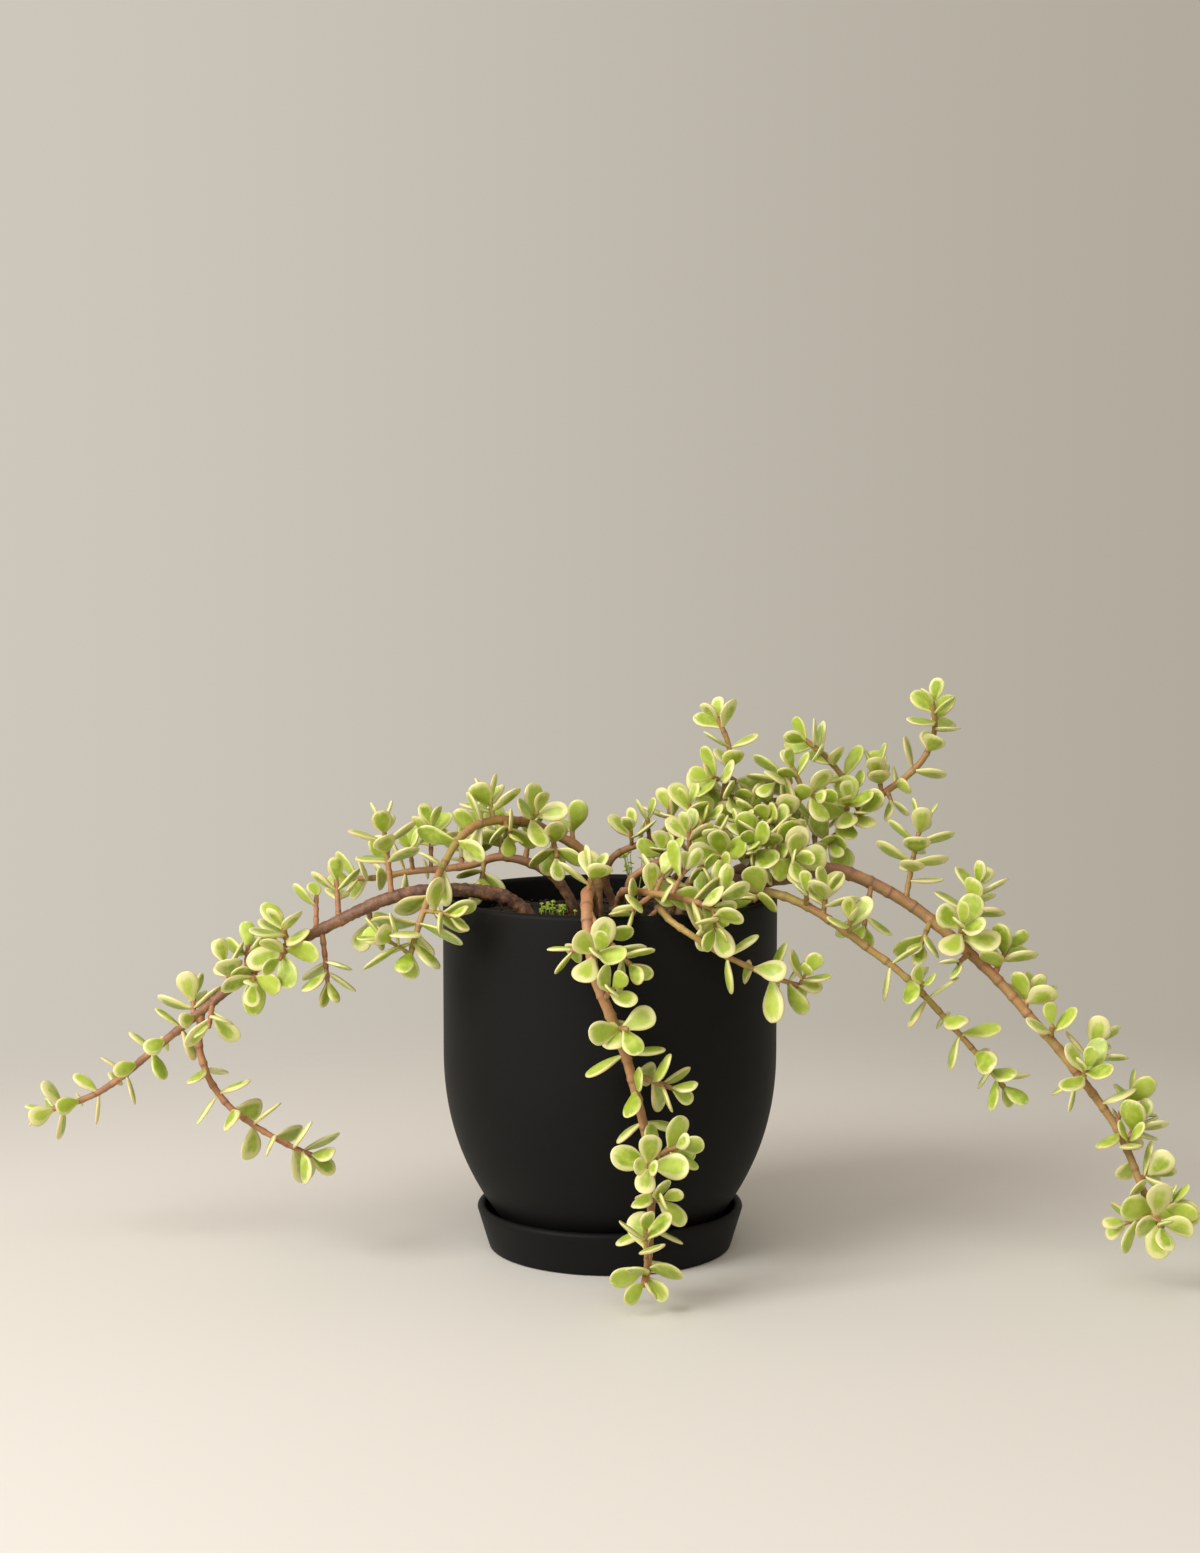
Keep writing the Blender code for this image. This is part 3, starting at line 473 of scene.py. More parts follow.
def tube_faces(rings, sides, first=0):
    """The faces that join each ring of points to the next, then a cap on the first and the last ring."""
    last = first + (rings - 1) * sides
    faces = []
    for near in range(first, last, sides):
        far = near + sides
        faces += [(near + k, near + (k + 1) % sides, far + (k + 1) % sides, far + k) for k in range(sides)]
    return [*faces, tuple(range(first, first + sides))[::-1], tuple(range(last, last + sides))]


def spokes(direction, side, count):
    """Unit vectors square to the direction, evenly round it from the side."""
    across = direction.cross(side)
    turns = [2 * math.pi * k / count for k in range(count)]
    return [side * math.cos(turn) + across * math.sin(turn) for turn in turns]


def tube_solid(tube):
    """Rings along the tube, kept from twisting, with a flat cap at each end."""
    points, sides = tube.points, tube.sides
    directions = [(b - a).normalized() for a, b in zip(points, points[1:])]
    between = [(a + b).normalized() for a, b in zip(directions, directions[1:])]
    directions = [directions[0], *between, directions[-1]]
    side = side_of(directions[0], 0.3)
    verts = []
    for point, direction, radius in zip(points, directions, tube.radii):
        side = (side - side.dot(direction) * direction).normalized()
        verts += [point + out * radius for out in spokes(direction, side, sides)]
    return verts, tube_faces(len(points), sides)


# Turned shapes


def bezier(start, first, second, end, count):
    """Count points along the curve after its start, the last of them its end."""
    pulls = (start, first, second, end)
    found = []
    for i in range(1, count + 1):
        t = i / count
        weights = ((1 - t) ** 3, 3 * t * (1 - t) ** 2, 3 * t * t * (1 - t), t**3)
        found.append(tuple(sum(w * p[k] for w, p in zip(weights, pulls)) for k in (0, 1)))
    return found


def belly(radius, foot_radius, foot_height, count):
    """The rounded lower wall, from its foot up to the belly line."""
    drop = POT_BELLY_LINE - foot_height
    return bezier((foot_radius, foot_height), (0.845 * radius, foot_height + 0.29 * drop),
                  (radius, foot_height + 0.58 * drop), (radius, POT_BELLY_LINE), count)


def coarse_saucer():
    foot, rim, inner = SAUCER_BASE_RADIUS, SAUCER_RIM_RADIUS, SAUCER_INSIDE_RADIUS
    return [
        (0, 0), (foot - 1, 0), (foot, 1), (rim, SAUCER_HEIGHT - 1.3), (rim - 1.2, SAUCER_HEIGHT),
        (rim - 3.2, SAUCER_HEIGHT), (rim - 4.3, SAUCER_HEIGHT - 1.2), (inner, SAUCER_FLOOR + 1.5),
        (inner - 1.5, SAUCER_FLOOR), (0, SAUCER_FLOOR),
    ]


def pot_inside(play, count):
    """The pot's inner wall from its floor up to the belly line, moved in by the play."""
    foot = (POT_FOOT_RADIUS - POT_WALL - play, POT_FLOOR + play)
    return [foot, *belly(POT_RADIUS - POT_WALL - play, *foot, count)]


def pot_profile(foot, rim, detail):
    """A closed outline round the wall from under the drain hole's edge, with these points at the foot's
    edge and above the belly line."""
    return [
        (DRAIN_RADIUS, POT_BASE + POT_FOOT_RECESS), (POT_FOOT_RADIUS - 6, POT_BASE + POT_FOOT_RECESS),
        (POT_FOOT_RADIUS - 4, POT_BASE), *foot,
        *belly(POT_RADIUS, POT_FOOT_RADIUS, POT_BASE + FOOT_ROUNDING, 5 * detail), *rim,
        *pot_inside(0, 3 * detail)[::-1], (DRAIN_RADIUS, POT_FLOOR),
    ]


def coarse_pot():
    outer, inner = POT_RADIUS, POT_RADIUS - POT_WALL
    foot = [(POT_FOOT_RADIUS - 1, POT_BASE), (POT_FOOT_RADIUS, POT_BASE + FOOT_ROUNDING)]
    rim = [(outer, POT_RIM - 1.6), (outer - 1.4, POT_RIM), (inner + 1.4, POT_RIM), (inner, POT_RIM - 1.6)]
    return pot_profile(foot, rim, 1)


def soil_bump(x, y):
    """How far the soil's top is above its mean height at a place."""
    along, across, askew = math.sin(0.11 * x + 0.7), math.cos(0.13 * y - 0.4), math.sin(0.21 * (x + y))
    return SOIL_BUMP * (along + across + 0.6 * askew)


def coarse_soil():
    inner = POT_RADIUS - POT_WALL - SOIL_PLAY
    rings = [(inner, SOIL_TOP - 1.5), (inner * 0.75, SOIL_TOP), (inner * 0.4, SOIL_TOP)]
    return [(0, POT_FLOOR + GAP), *pot_inside(SOIL_PLAY, 3), *rings, (0, SOIL_TOP)]


def turned(profile, segments, closed=False):
    """The outline turned about the Z axis, with single points where it starts or ends on the axis."""
    verts, rings = [], []
    for radius, height in profile:
        if radius == 0:
            rings.append([len(verts)] * segments)
            verts.append((0, 0, height))
            continue
        rings.append(range(len(verts), len(verts) + segments))
        turns = [2 * math.pi * k / segments for k in range(segments)]
        verts += [(radius * math.cos(turn), radius * math.sin(turn), height) for turn in turns]
    faces = []
    for low, high in zip(rings, rings[1:] + rings[:1] if closed else rings[1:]):
        for k in range(segments):
            after = (k + 1) % segments
            faces.append(tuple(dict.fromkeys((low[k], low[after], high[after], high[k]))))
    return verts, faces


# Fine surfaces


def placed(name, data):
    """A new object of the scene that shows the data."""
    made = bpy.data.objects.new(name, data)
    bpy.context.scene.collection.objects.link(made)
    return made


def mesh_piece(name, verts, faces, material, values=None):
    """A smooth-shaded piece in metres from points in millimetres, with its named point values."""
    mesh = bpy.data.meshes.new(name)
    mesh.from_pydata(np.asarray(verts) * MM, [], faces)
    for key, numbers in (values or {}).items():
        stored = mesh.attributes.new(key, "FLOAT", "POINT")
        stored.data.foreach_set("value", np.asarray(numbers, dtype=np.float32))
    mesh.materials.append(material)
    mesh.shade_smooth()
    return placed(name, mesh)


# Fine leaf: shares of its length and width, and the ranges in which leaves differ
LEAF_RINGS = 13
LEAF_SIDES = 14
LEAF_TIP = LEAF_RINGS * LEAF_SIDES
RING_CROWDING = 1.55
WIDEST_AT = (0.58, 0.68)
TIP_BLUNTNESS = (1.9, 2.7)
NECK_WIDTH = 0.13
NECK_DEPTH = 0.36
THINS_FROM = 0.4
CREASE_WIDTH = 0.16
CUP = (0.02, 0.13)
CREASE = (0.1, 0.32)
BEND = (-0.7, 0.7)
WAVE = (-0.05, 0.05)
LEAF_VALUES = ("edge", "along", "side", "tone", "pale", "blush")


def leaf_grid():
    """The fine leaf's shares along its length and round its rim, and its faces, the same for every leaf."""
    along = 1 - (1 - np.arange(LEAF_RINGS) / LEAF_RINGS) ** RING_CROWDING
    turn = 2 * np.pi * np.arange(LEAF_SIDES) / LEAF_SIDES
    *walls, root_cap, _ = tube_faces(LEAF_RINGS, LEAF_SIDES)
    last = LEAF_TIP - LEAF_SIDES
    tip_fan = [(last + k, last + (k + 1) % LEAF_SIDES, LEAF_TIP) for k in range(LEAF_SIDES)]
    return along, turn, [*walls, *tip_fan, root_cap]


ALONG, TURN, LEAF_FACES = leaf_grid()


def fine_leaf(leaf, chance):
    """The leaf's points, with how near each is to the margin, how far along and how far to one side."""
    length, width = leaf.length, leaf.width
    widest, blunt = chance.uniform(*WIDEST_AT), chance.uniform(*TIP_BLUNTNESS)
    cup, crease, bend = chance.uniform(*CUP), chance.uniform(*CREASE), chance.uniform(*BEND)
    wave, phase = chance.uniform(*WAVE), chance.uniform(0, 6.3)
    u = np.append(ALONG, 1.0)[:, None]
    c, s = np.cos(TURN), np.sin(TURN)
    rise = np.clip(u / widest, 0, 1)
    fall = np.clip((u - widest) / (1 - widest), 0, 1)
    outline = (NECK_WIDTH + (1 - NECK_WIDTH) * np.sin(rise * np.pi / 2) ** 1.5) * (1 - fall**blunt) ** 0.5
    fuller = np.clip(u / LEAF_THICKEST, 0, 1)
    thinner = np.clip((u - THINS_FROM) / (1 - THINS_FROM), 0, 1)
    deep = (NECK_DEPTH + (1 - NECK_DEPTH) * np.sin(fuller * np.pi / 2)) * (1 - thinner**3) ** 0.5
    half = outline * width / 2
    depth = deep * leaf.thickness / 2
    across = half * (np.sign(c) * np.abs(c) ** 0.85)
    x = np.broadcast_to(-LEAF_ROOT_DEPTH + u * (length + LEAF_ROOT_DEPTH), across.shape)
    y = across + bend * u**2 + wave * np.sin(2 * np.pi * u + phase) * np.abs(across)
    z = depth * (np.sign(s) * np.abs(s) ** 0.9 * np.where(s > 0, 0.85, 1.15))
    z += leaf.curl * u**2 + cup * np.abs(across) ** 1.5 / np.sqrt(width)
    z -= crease * depth * np.exp(-(across / (CREASE_WIDTH * width)) ** 2) * np.where(s > 0, 1.0, 0.3)
    side = across / np.maximum(half, 1e-6)
    edge = 1 - np.minimum(outline**0.4 * (1 - np.abs(side)), np.clip(1.8 * length / width * (1 - u), 0, 1))
    keep = LEAF_TIP + 1
    place = np.array(leaf.place)
    points = np.stack([x, y, z], axis=2).reshape(-1, 3)[:keep] @ place[:3, :3].T + place[:3, 3]
    measured = (edge, np.broadcast_to(u, across.shape), side)
    return points, *(values.reshape(-1)[:keep] for values in measured)


def leaves_piece(name, leaves, material, chance):
    verts, faces = [], []
    values = {key: [] for key in LEAF_VALUES}
    for count, leaf in enumerate(leaves):
        points, *measured = fine_leaf(leaf, chance)
        start = count * len(points)
        verts.append(points)
        faces += [tuple(start + v for v in face) for face in LEAF_FACES]
        drawn = [np.full(len(points), chance.random()) for _ in range(3)]
        for key, found in zip(values, (*measured, *drawn)):
            values[key].append(found)
    joined = {key: np.concatenate(found) for key, found in values.items()}
    return mesh_piece(name, np.concatenate(verts), faces, material, joined)


# Fine bark: a knuckle and a groove at each old leaf node, and old wood that is rough and dark
STEM_SIDES = 14
STEM_RING_STEP = 1.1
ROUNDING = 5.0
FIRST_NODE = (1, 4)
STEM_NODES = (8, 13)
SHOOT_NODES = (3.5, 5.5)
KNUCKLE_BELOW = 1.5
KNUCKLE_ABOVE = 0.7
GROOVE_AT = 0.5
GROOVE_WIDTH = 0.4
GRAIN = 0.45
NO_OLD_WOOD = 0.001
BARK_VALUES = ("ring", "young", "sun", "old")


def rounded(points):
    """The tube's line with its corners rounded off, in short even steps."""
    fine = spaced([p.copy() for p in points], STEM_RING_STEP)
    reach = round(ROUNDING / STEM_RING_STEP)
    last = len(fine) - 1
    soft = []
    for i in range(len(fine)):
        near = min(reach, i, last - i)
        group = fine[i - near:i + near + 1]
        soft.append(sum(group, Vector()) / len(group))
    return soft


def node_places(total, spacing, chance):
    """The distances of the old leaf nodes from the tube's foot."""
    places = []
    at = chance.uniform(*FIRST_NODE)
    while at < total:
        places.append(at)
        at += chance.uniform(*spacing)
    return places


def fine_tube(tube, young, old_reach, chance):
    """Rings along the rounded line, with the BARK_VALUES of each point."""
    points = rounded(tube.points)
    last = len(points) - 1
    total = line_length(points)
    directions = [(b - a).normalized() for a, b in zip(points, points[1:])]
    directions.append(directions[-1])
    nodes = node_places(total, SHOOT_NODES if tube.sides == SHOOT_SIDES else STEM_NODES, chance)
    side = side_of(directions[0], 0.3)
    seed = chance.uniform(0, 100)
    swell = 0.27 - 0.03 * tube.radii[0]
    verts, values = [], []
    for i, (point, direction) in enumerate(zip(points, directions)):
        distance = total * i / last
        radius = tube.radii[0] + (tube.radii[-1] - tube.radii[0]) * i / last
        near = min((distance - n for n in nodes), key=abs, default=9)
        knuckle = math.exp(-((near / (KNUCKLE_BELOW if near < 0 else KNUCKLE_ABOVE)) ** 2))
        groove = math.exp(-(((near - GROOVE_AT) / GROOVE_WIDTH) ** 2))
        old = max(0, 1 - distance / old_reach)
        green = young[0] + (young[1] - young[0]) * (distance / total)
        side = (side - side.dot(direction) * direction).normalized()
        for out in spokes(direction, side, STEM_SIDES):
            spot = Vector((seed, 0, 0)) + (point + out * radius) * GRAIN
            rough = noise.noise(spot) * (0.09 + 0.12 * old) + noise.noise(spot * 3) * 0.13 * old
            verts.append(point + out * radius * (0.96 + swell * knuckle - 0.05 * groove + rough))
            values.append((groove, green, out.z, old))
    return verts, tube_faces(len(points), STEM_SIDES), values


def bark_piece(name, tubes, material, chance):
    """The bark of a stem's own tube, which comes first, and of its shoots and branches."""
    start, end = LIMBS[name].young
    verts, faces, values = [], [], []
    for count, tube in enumerate(tubes):
        young = (start, end) if count == 0 else (end, end + chance.uniform(-0.35, 0.3))
        old_reach = LIMBS[name].old if count == 0 else NO_OLD_WOOD
        made, made_faces, found = fine_tube(tube, young, old_reach, chance)
        faces += [tuple(len(verts) + v for v in face) for face in made_faces]
        verts += made
        values += found
    return mesh_piece(name + "_bark", verts, faces, material, dict(zip(BARK_VALUES, zip(*values))))


# Fine pot, saucer and soil
FINE_SEGMENTS = 128
SAUCER_LIP = 2.0
SOIL_RINGS = 46
CRUMBS = 900
CRUMB_REACH = 73
CRUMB_SIZE = (0.5, 1.7)
CRUMB_STRETCH = ((0.7, 1.5), (0.6, 1.1), (0.4, 0.8))


def fine_turned(name, profile, material, closed=False):
    return mesh_piece(name, *turned(profile, FINE_SEGMENTS, closed), material)


def rounded_corner(radius, corner, start, end, count=6):
    """Points on an arc about the corner's centre from one angle to another, in degrees."""
    x, z = corner
    turns = [math.radians(start + (end - start) * i / count) for i in range(count + 1)]
    return [(x + radius * math.cos(turn), z + radius * math.sin(turn)) for turn in turns]


def fine_pot():
    half, side = POT_WALL / 2, POT_FOOT_RADIUS - FOOT_ROUNDING
    foot = [(side, POT_BASE), *rounded_corner(FOOT_ROUNDING, (side, POT_BASE + FOOT_ROUNDING), -60, 0, 3)]
    rim = [*[(POT_RADIUS, POT_BELLY_LINE + 4 * i) for i in range(1, 16)],
           *rounded_corner(half, (POT_RADIUS - half, POT_RIM - half), 0, 180, 12),
           *[(POT_RADIUS - POT_WALL, POT_BELLY_LINE + 10 * i) for i in range(6, 0, -1)]]
    return pot_profile(foot, rim, 8)


def fine_saucer():
    foot, rim, inner, lip = SAUCER_BASE_RADIUS, SAUCER_RIM_RADIUS, SAUCER_INSIDE_RADIUS, SAUCER_LIP
    wall = [(foot + 0.2 + (rim - foot - 0.2) * i / 8, 1.4 + (SAUCER_HEIGHT - lip - 1.4) * i / 8)
            for i in range(1, 9)]
    return [
        (0, 0), (foot - 1.2, 0), *rounded_corner(1.2, (foot - 1.2, 1.2), -75, -12, 4), *wall,
        *rounded_corner(lip, (rim - lip, SAUCER_HEIGHT - lip), 10, 170, 10),
        (inner + 1.8, 14), (inner + 0.9, 9),
        *rounded_corner(1.5, (inner - 1.5, SAUCER_FLOOR + 1.5), 0, -90, 5), (0, SAUCER_FLOOR),
    ]


def fine_soil(material):
    """The soil's filled body under an uneven crumbled top."""
    inner = POT_RADIUS - POT_WALL - SOIL_PLAY
    wall = [(0, POT_FLOOR + GAP), *pot_inside(SOIL_PLAY, 10), (inner, SOIL_TOP - 4)]
    top = [(inner * (1 - i / SOIL_RINGS), SOIL_TOP) for i in range(SOIL_RINGS)]
    made = fine_turned("soil_fill", [*wall, *top, (0, SOIL_TOP)], material)
    for vert in made.data.vertices:
        x, y, z = vert.co / MM
        if z > SOIL_TOP - 0.5:
            lumps = 1.5 * noise.noise(Vector((x * 0.13, y * 0.13, 3)))
            lumps += 1.6 * noise.noise(Vector((x, y, 9)) * 0.4)
            fade = min(1, (inner - math.hypot(x, y)) / 8)
            vert.co.z = (SOIL_TOP - 1 + (soil_bump(x, y) + lumps) * fade) * MM
    return made


def crumbs(material, chance):
    """Small angular grains on the soil."""
    verts, faces, tones = [], [], []
    corners = [Vector(v) for v in ((1, 0, 0), (0, 1, 0), (-1, 0, 0), (0, -1, 0), (0, 0, 1), (0, 0, -1))]
    sides = ((0, 1, 4), (1, 2, 4), (2, 3, 4), (3, 0, 4), (1, 0, 5), (2, 1, 5), (3, 2, 5), (0, 3, 5))
    for _ in range(CRUMBS):
        far = CRUMB_REACH * math.sqrt(chance.random())
        turn = chance.uniform(0, 2 * math.pi)
        x, y = far * math.cos(turn), far * math.sin(turn)
        size = chance.uniform(*CRUMB_SIZE)
        stretch = Vector([chance.uniform(*span) for span in CRUMB_STRETCH]) * size
        spin = Matrix.Rotation(chance.uniform(0, 6.3), 3, "Z")
        spin = spin @ Matrix.Rotation(chance.uniform(-0.6, 0.6), 3, "X")
        centre = Vector((x, y, SOIL_TOP - 0.2 + soil_bump(x, y) * min(1, (CRUMB_REACH + 2 - far) / 8)))
        faces += [tuple(len(verts) + v for v in side) for side in sides]
        verts += [centre + spin @ Vector(c * s * chance.uniform(0.8, 1.2) for c, s in zip(corner, stretch))
                  for corner in corners]
        tones += [chance.random()] * len(corners)
    made = mesh_piece("soil_crumbs", verts, faces, material, {"tone": tones})
    made.data.shade_flat()
    return made


# Sprouts: where the tiny and the tall ones stand, and how many
SPROUTS = (-26, 9)
SPROUT_COUNT = 24
TALL_SPROUTS = (11, 21)
TALL_SPROUT_COUNT = 6


def seedlings(material, chance):
    """Tiny sprouts in the open soil at the left and a few tall ones behind the stems, each a thin stalk
    with a few round leaves."""
    verts, faces, tones = [], [], []

    def rings(centres, radii, up, sides):
        """A closed body of rings of points round the centres, square to the direction up."""
        faces.extend(tube_faces(len(centres), sides, len(verts)))
        for centre, radius in zip(centres, radii):
            verts.extend(centre + out * radius for out in spokes(up, side_of(up, 0.0), sides))
        tones.extend([chance.random()] * (len(centres) * sides))

    def leaflets(tip, count, smallest, largest):
        for _ in range(count):
            turn, reach = chance.uniform(0, 2 * math.pi), chance.uniform(smallest, largest)
            up = Vector((chance.uniform(-0.5, 0.5), chance.uniform(-0.7, 0.1), 1)).normalized()
            middle = tip + Vector((math.cos(turn), math.sin(turn), chance.uniform(-0.2, 0.5))) * reach
            rings([middle - up * 0.2, middle, middle + up * 0.15], (reach * 0.6, reach, reach * 0.5), up, 9)

    def drawn(*spans):
        return Vector([chance.uniform(*span) for span in spans])

    def near(patch, spread):
        return Vector((patch[0] + chance.gauss(0, spread), patch[1] + chance.gauss(0, spread), SOIL_TOP))

    for _ in range(SPROUT_COUNT):
        spot = near(SPROUTS, 5)
        tip = spot + drawn((-1.2, 1.2), (-1.2, 1.2), (2.5, 5.5))
        rings([spot, tip], (0.22, 0.16), (tip - spot).normalized(), 5)
        leaflets(tip, chance.choice((2, 3, 3, 4)), 0.7, 1.1)
    for _ in range(TALL_SPROUT_COUNT):
        spot = near(TALL_SPROUTS, 2)
        lean = drawn((-6, 4), (-1, 2), (26, 37))
        bow = Vector((chance.uniform(-1.5, 1.5), chance.uniform(-1, 1), 0))
        line = [spot + lean * share + bow * math.sin(math.pi * share) for share in (0, 0.25, 0.5, 0.75, 1)]
        rings(line, (0.3, 0.28, 0.25, 0.22, 0.18), lean.normalized(), 5)
        leaflets(line[-2], 2, 0.9, 1.3)
        leaflets(line[-1], 5, 1.1, 1.7)
    return mesh_piece("soil_sprouts", verts, faces, material, {"tone": tones})


# Materials


class Look:
    """The nodes of a material or of the world, with short ways to add to them."""

    def __init__(self, owner):
        owner.use_nodes = True
        self.owner = owner
        self.tree = owner.node_tree
        self.shader = self.tree.nodes.get("Principled BSDF")

    def add(self, kind, **settings):
        made = self.tree.nodes.new("ShaderNode" + kind)
        for key, setting in settings.items():
            setattr(made, key, setting)
        return made

    def feed(self, given, socket):
        """Link an output to the socket, or set it to a number, a colour or a vector."""
        if isinstance(given, (int, float)):
            socket.default_value = given
        elif isinstance(given, tuple):
            socket.default_value = (*given, 1) if socket.type == "RGBA" else given
        else:
            self.tree.links.new(given, socket)

    def plug(self, node, *parts, slots=(0, 1, 2)):
        for slot, part in zip(slots, parts):
            self.feed(part, node.inputs[slot])

    def fill(self, node, **values):
        for key, given in values.items():
            self.feed(given, node.inputs[key.replace("_", " ")])

    def set(self, **values):
        self.fill(self.shader, **values)

    def value(self, name):
        return self.add("Attribute", attribute_name=name).outputs["Fac"]

    def maths(self, operation, a, b, clamp=False):
        made = self.add("Math", operation=operation, use_clamp=clamp)
        self.plug(made, a, b)
        return made.outputs[0]

    def times(self, a, b):
        return self.maths("MULTIPLY", a, b)

    def shifted(self, value, wobble, reach, clamp=False):
        """The value moved up and down by the wobble, which is 0.5 in its middle."""
        return self.maths("ADD", value, self.times(self.maths("SUBTRACT", wobble, 0.5), reach), clamp)

    def ramp(self, value, low, high):
        """0 below low and 1 above high, smooth between."""
        made = self.add("MapRange", interpolation_type="SMOOTHSTEP")
        self.fill(made, From_Min=low, From_Max=high, Value=value)
        return made.outputs["Result"]

    def mix(self, share, a, b):
        made = self.add("Mix", data_type="RGBA")
        self.plug(made, share, a, b, slots=(0, 6, 7))
        return made.outputs[2]

    def tinted(self, colour, share, strength, tint):
        return self.mix(self.times(share, strength), colour, tint)

    def vector(self, *parts):
        made = self.add("CombineXYZ")
        self.plug(made, *parts)
        return made.outputs[0]

    def noise(self, scale, detail=2.0, roughness=0.5, place=None):
        """Noise over the piece's own space, or over another place."""
        made = self.add("TexNoise")
        if place is None:
            place = self.add("TexCoord").outputs["Object"]
        self.fill(made, Scale=scale, Detail=detail, Roughness=roughness, Vector=place)
        return made.outputs["Fac"]

    def paint(self, colour):
        self.set(Base_Color=colour)

    def bump(self, height, strength, distance):
        made = self.add("Bump")
        self.fill(made, Strength=strength, Distance=distance, Height=height)
        self.set(Normal=made.outputs["Normal"])


def leaf_material():
    """Green that feathers out into a cream margin, of another width on every leaf, with a thin pink rim
    on some."""
    look = Look(bpy.data.materials.new("variegated_leaf"))
    edge, along, side, tone, pale, blush = map(look.value, LEAF_VALUES)
    patch = look.noise(160, 3, 0.6)
    green = look.mix(tone, (0.265, 0.385, 0.018), (0.44, 0.55, 0.062))
    green = look.mix(look.ramp(patch, 0.35, 0.75), green, (0.53, 0.625, 0.11))
    seed = look.times(look.maths("ADD", tone, pale), 37.0)
    rim = look.shifted(edge, look.noise(2.2, place=look.vector(side, look.times(along, 0.8), seed)), 0.55)
    rim = look.shifted(rim, look.noise(8.0, place=look.vector(side, look.times(along, 0.2), seed)), 0.3)
    rim = look.shifted(rim, patch, 0.25)
    rim = look.shifted(rim, pale, 0.42)
    cream = look.mix(look.noise(60, 1), (0.67, 0.66, 0.2), (0.82, 0.775, 0.47))
    colour = look.mix(look.ramp(rim, 0.47, 0.86), green, cream)
    pink = look.times(look.ramp(edge, 0.9, 1.0), look.ramp(blush, 0.5, 0.9))
    colour = look.tinted(colour, pink, 0.6, (0.6, 0.28, 0.14))
    speck = look.times(look.ramp(look.noise(900, 2, 0.7), 0.7, 0.76), look.ramp(blush, 0.25, 0.0))
    look.paint(look.tinted(colour, speck, 0.8, (0.25, 0.13, 0.05)))
    look.bump(look.noise(1400), 0.25, 0.00012)
    look.set(Roughness=0.42, Subsurface_Weight=0.22, Subsurface_Scale=0.002, Coat_Weight=0.08)
    look.set(Subsurface_Radius=(0.8, 1.0, 0.3))
    return look.owner


def bark_material():
    """Red-brown wood that turns olive where young, redder on top and dark and crusty where old, with a
    dark line at each node."""
    look = Look(bpy.data.materials.new("stem_bark"))
    ring, young, sun, old = map(look.value, BARK_VALUES)
    patch, fine = look.noise(140, 3, 0.6), look.noise(900, 2, 0.6)
    woody = look.mix(patch, (0.56, 0.275, 0.115), (0.34, 0.15, 0.065))
    green = look.mix(patch, (0.47, 0.4, 0.075), (0.36, 0.29, 0.055))
    colour = look.mix(look.shifted(young, look.noise(90), 0.7, clamp=True), woody, green)
    flushed = look.times(look.ramp(sun, -0.6, 0.9), look.ramp(look.noise(60), 0.32, 0.6))
    colour = look.tinted(colour, flushed, 0.62, (0.53, 0.18, 0.115))
    colour = look.tinted(colour, ring, 0.6, (0.11, 0.045, 0.03))
    colour = look.tinted(colour, look.ramp(fine, 0.55, 0.7), 0.4, (0.52, 0.36, 0.22))
    aged = look.times(look.ramp(old, -0.35, 0.75), look.ramp(patch, 0.2, 0.55))
    colour = look.tinted(colour, aged, 0.8, (0.13, 0.065, 0.045))
    crust = look.times(look.ramp(old, 0.55, 0.9), look.ramp(look.noise(420, 3, 0.7), 0.4, 0.6))
    look.paint(look.tinted(colour, crust, 0.75, (0.045, 0.026, 0.019)))
    look.bump(fine, 0.6, 0.0004)
    look.set(Roughness=0.55, Subsurface_Weight=0.05, Subsurface_Scale=0.001)
    return look.owner


def ceramic_material(name):
    look = Look(bpy.data.materials.new(name))
    look.paint(look.mix(look.noise(30, 3), (0.0066, 0.0066, 0.0065), (0.0082, 0.0081, 0.0078)))
    look.bump(look.noise(2600, 2, 0.6), 0.35, 0.00008)
    look.set(Roughness=0.55, Specular_IOR_Level=0.1)
    return look.owner


def soil_material():
    look = Look(bpy.data.materials.new("potting_mix"))
    grain = look.noise(700, 4, 0.7)
    look.paint(look.mix(grain, (0.005, 0.0034, 0.0026), (0.034, 0.021, 0.014)))
    look.bump(grain, 0.9, 0.0012)
    look.set(Roughness=0.95)
    return look.owner


def toned_material(name, dark, light, **settings):
    """Between the dark and the light colour by the tone of each grain or sprout."""
    look = Look(bpy.data.materials.new(name))
    look.paint(look.mix(look.value("tone"), dark, light))
    look.set(**settings)
    return look.owner


# The dressed plant


def dress(piece, node):
    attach(piece, "root")
    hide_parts(node)


def grow_plant(space):
    """Every limb's tubes, then every limb's leaves, each kept clear of all that grew before it."""
    tubes = {name: tubes_of(rooted(limb)) for name, limb in LIMBS.items()}
    for limb_tubes in tubes.values():
        for tube in flat(limb_tubes):
            space.add(*tube_solid(tube))
    grown = {}
    for name, limb in LIMBS.items():
        leaves = leaves_of(limb, tubes[name], space, random.Random(LIMB_SEEDS[name]))
        grown[name] = (flat(tubes[name]), leaves)
    return grown


def build_plant():
    space = Space()
    for profile, closed in ((coarse_saucer(), False), (coarse_pot(), True), (coarse_soil(), False)):
        verts, faces = turned(profile, TURN_SEGMENTS, closed)
        space.add([Vector(v) for v in verts], faces)
    leaf_look, bark_look = leaf_material(), bark_material()
    for name, (tubes, leaves) in grow_plant(space).items():
        chance = random.Random(LIMB_SEEDS[name] + 500)
        dress(bark_piece(name, tubes, bark_look, chance), name)
        dress(leaves_piece(name + "_leaves", inside_box(leaves), leaf_look, chance), name)


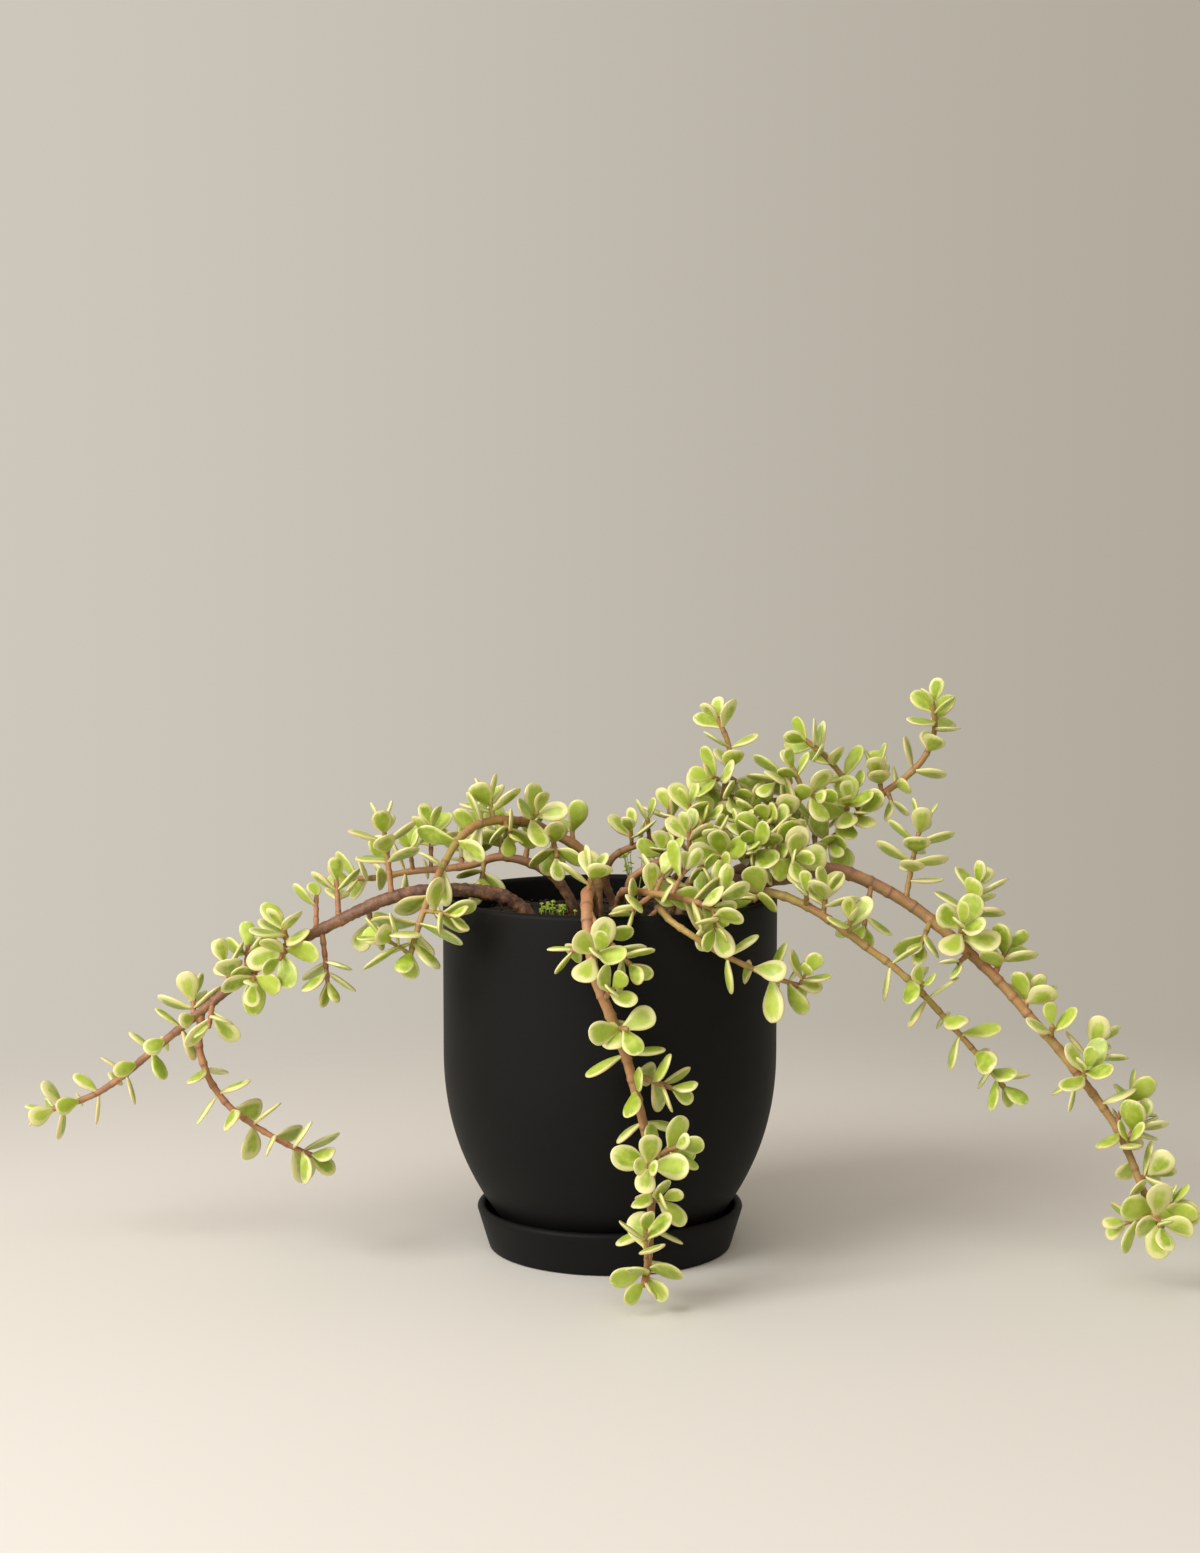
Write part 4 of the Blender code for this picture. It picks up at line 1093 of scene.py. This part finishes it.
def inside_box(leaves):
    """The leaves whose coarse shape lies inside the box of the solids."""
    low, high = CAD_LOW / MM - Vector((0.02,) * 3), CAD_HIGH / MM + Vector((0.02,) * 3)
    return [leaf for leaf in leaves
            if all(low[k] < p[k] < high[k] for p in leaf_solid(leaf)[0] for k in range(3))]


def build_pot():
    pot_wall = fine_turned("pot_wall", fine_pot(), ceramic_material("black_pot"), closed=True)
    saucer_dish = fine_turned("saucer_dish", fine_saucer(), ceramic_material("black_saucer"))
    dress(pot_wall, "pot")
    dress(saucer_dish, "saucer")
    dress(fine_soil(soil_material()), "soil")
    grain = toned_material("soil_grains", (0.014, 0.008, 0.006), (0.085, 0.052, 0.03), Roughness=0.9)
    dress(crumbs(grain, random.Random(5)), "soil")
    green = toned_material("green_sprout", (0.34, 0.54, 0.04), (0.6, 0.76, 0.1), Roughness=0.5,
                           Subsurface_Weight=0.2, Subsurface_Scale=0.001)
    dress(seedlings(green, random.Random(8)), "soil")


# Floor, light and camera, in metres
FLOOR_REACH = 2.5
FLOOR_DROP = 0.0002
FLOOR_CENTRE = (0, -0.3, 0)
FLOOR_FADE = (0.48, 0.95)
WALL_LIGHT = (0.62, 0.572, 0.5)
WALL_DARK = (0.43, 0.395, 0.33)
WALL_FADE = (-0.3, 0.32)
CAMERA_PLACE = (-0.0048, -1.18, 0.3245)
CAMERA_TILT = 4.74
FOCAL_LENGTH_PIXELS = 2480
FRAME_HEIGHT_PIXELS = 1553
SENSOR_WIDTH = 36

# Each light's place, what it points at, its size, its power in watts and its colour
LIGHTS = {
    "key": ((-1.3, -1.1, 1.15), (0, 0, 0.1), 1.0, 33, (1.0, 0.985, 0.96)),
    "fill": ((-0.1, -1.5, 1.6), (0, 0, 0.12), 1.6, 11, (1.0, 0.99, 0.97)),
}


def floor_material():
    """Warm white that thins out with distance, so the floor runs into the background."""
    look = Look(bpy.data.materials.new("pale_floor"))
    look.set(Roughness=0.7, Specular_IOR_Level=0.2)
    look.paint(look.mix(look.noise(3), (0.7, 0.668, 0.628), (0.73, 0.698, 0.658)))
    apart = look.add("VectorMath", operation="DISTANCE")
    look.plug(apart, look.add("TexCoord").outputs["Object"], FLOOR_CENTRE)
    share = look.ramp(apart.outputs["Value"], *FLOOR_FADE)
    both = look.add("MixShader")
    look.plug(both, share, look.shader.outputs[0], look.add("BsdfTransparent").outputs[0])
    look.fill(look.tree.nodes["Material Output"], Surface=both.outputs[0])
    return look.owner


def area_light(name, place, target, size, power, colour):
    light = bpy.data.lights.new(name, "AREA")
    light.size = size
    light.energy = power
    light.color = colour
    made = placed(name, light)
    made.location = place
    made.rotation_euler = (Vector(target) - Vector(place)).to_track_quat("-Z", "Y").to_euler()


def build_stage():
    floor = bpy.data.meshes.new("floor")
    far = FLOOR_REACH
    floor.from_pydata([(-far, -far, 0), (far, -far, 0), (far, far, 0), (-far, far, 0)], [], [(0, 1, 2, 3)])
    floor.materials.append(floor_material())
    ground = placed("floor", floor)
    ground.location.z = -FLOOR_DROP
    for name, settings in LIGHTS.items():
        area_light(name, *settings)
    bpy.context.scene.world = studio_world()


def studio_world():
    """A plain warm grey all round, a little darker towards +X."""
    look = Look(bpy.data.worlds.new("studio"))
    split = look.add("SeparateXYZ")
    look.plug(split, look.add("TexCoord").outputs["Generated"])
    grey = look.mix(look.ramp(split.outputs["X"], *WALL_FADE), WALL_LIGHT, WALL_DARK)
    look.fill(look.tree.nodes["Background"], Color=grey)
    return look.owner


def build_camera():
    lens = bpy.data.cameras.new("camera")
    lens.sensor_width = SENSOR_WIDTH
    lens.lens = SENSOR_WIDTH * FOCAL_LENGTH_PIXELS / FRAME_HEIGHT_PIXELS
    camera = placed("camera", lens)
    camera.location = CAMERA_PLACE
    camera.rotation_euler = (math.radians(90 - CAMERA_TILT), 0, 0)
    bpy.context.scene.camera = camera
    bpy.context.scene.view_settings.view_transform = "Standard"


build_pot()
build_plant()
build_stage()
build_camera()
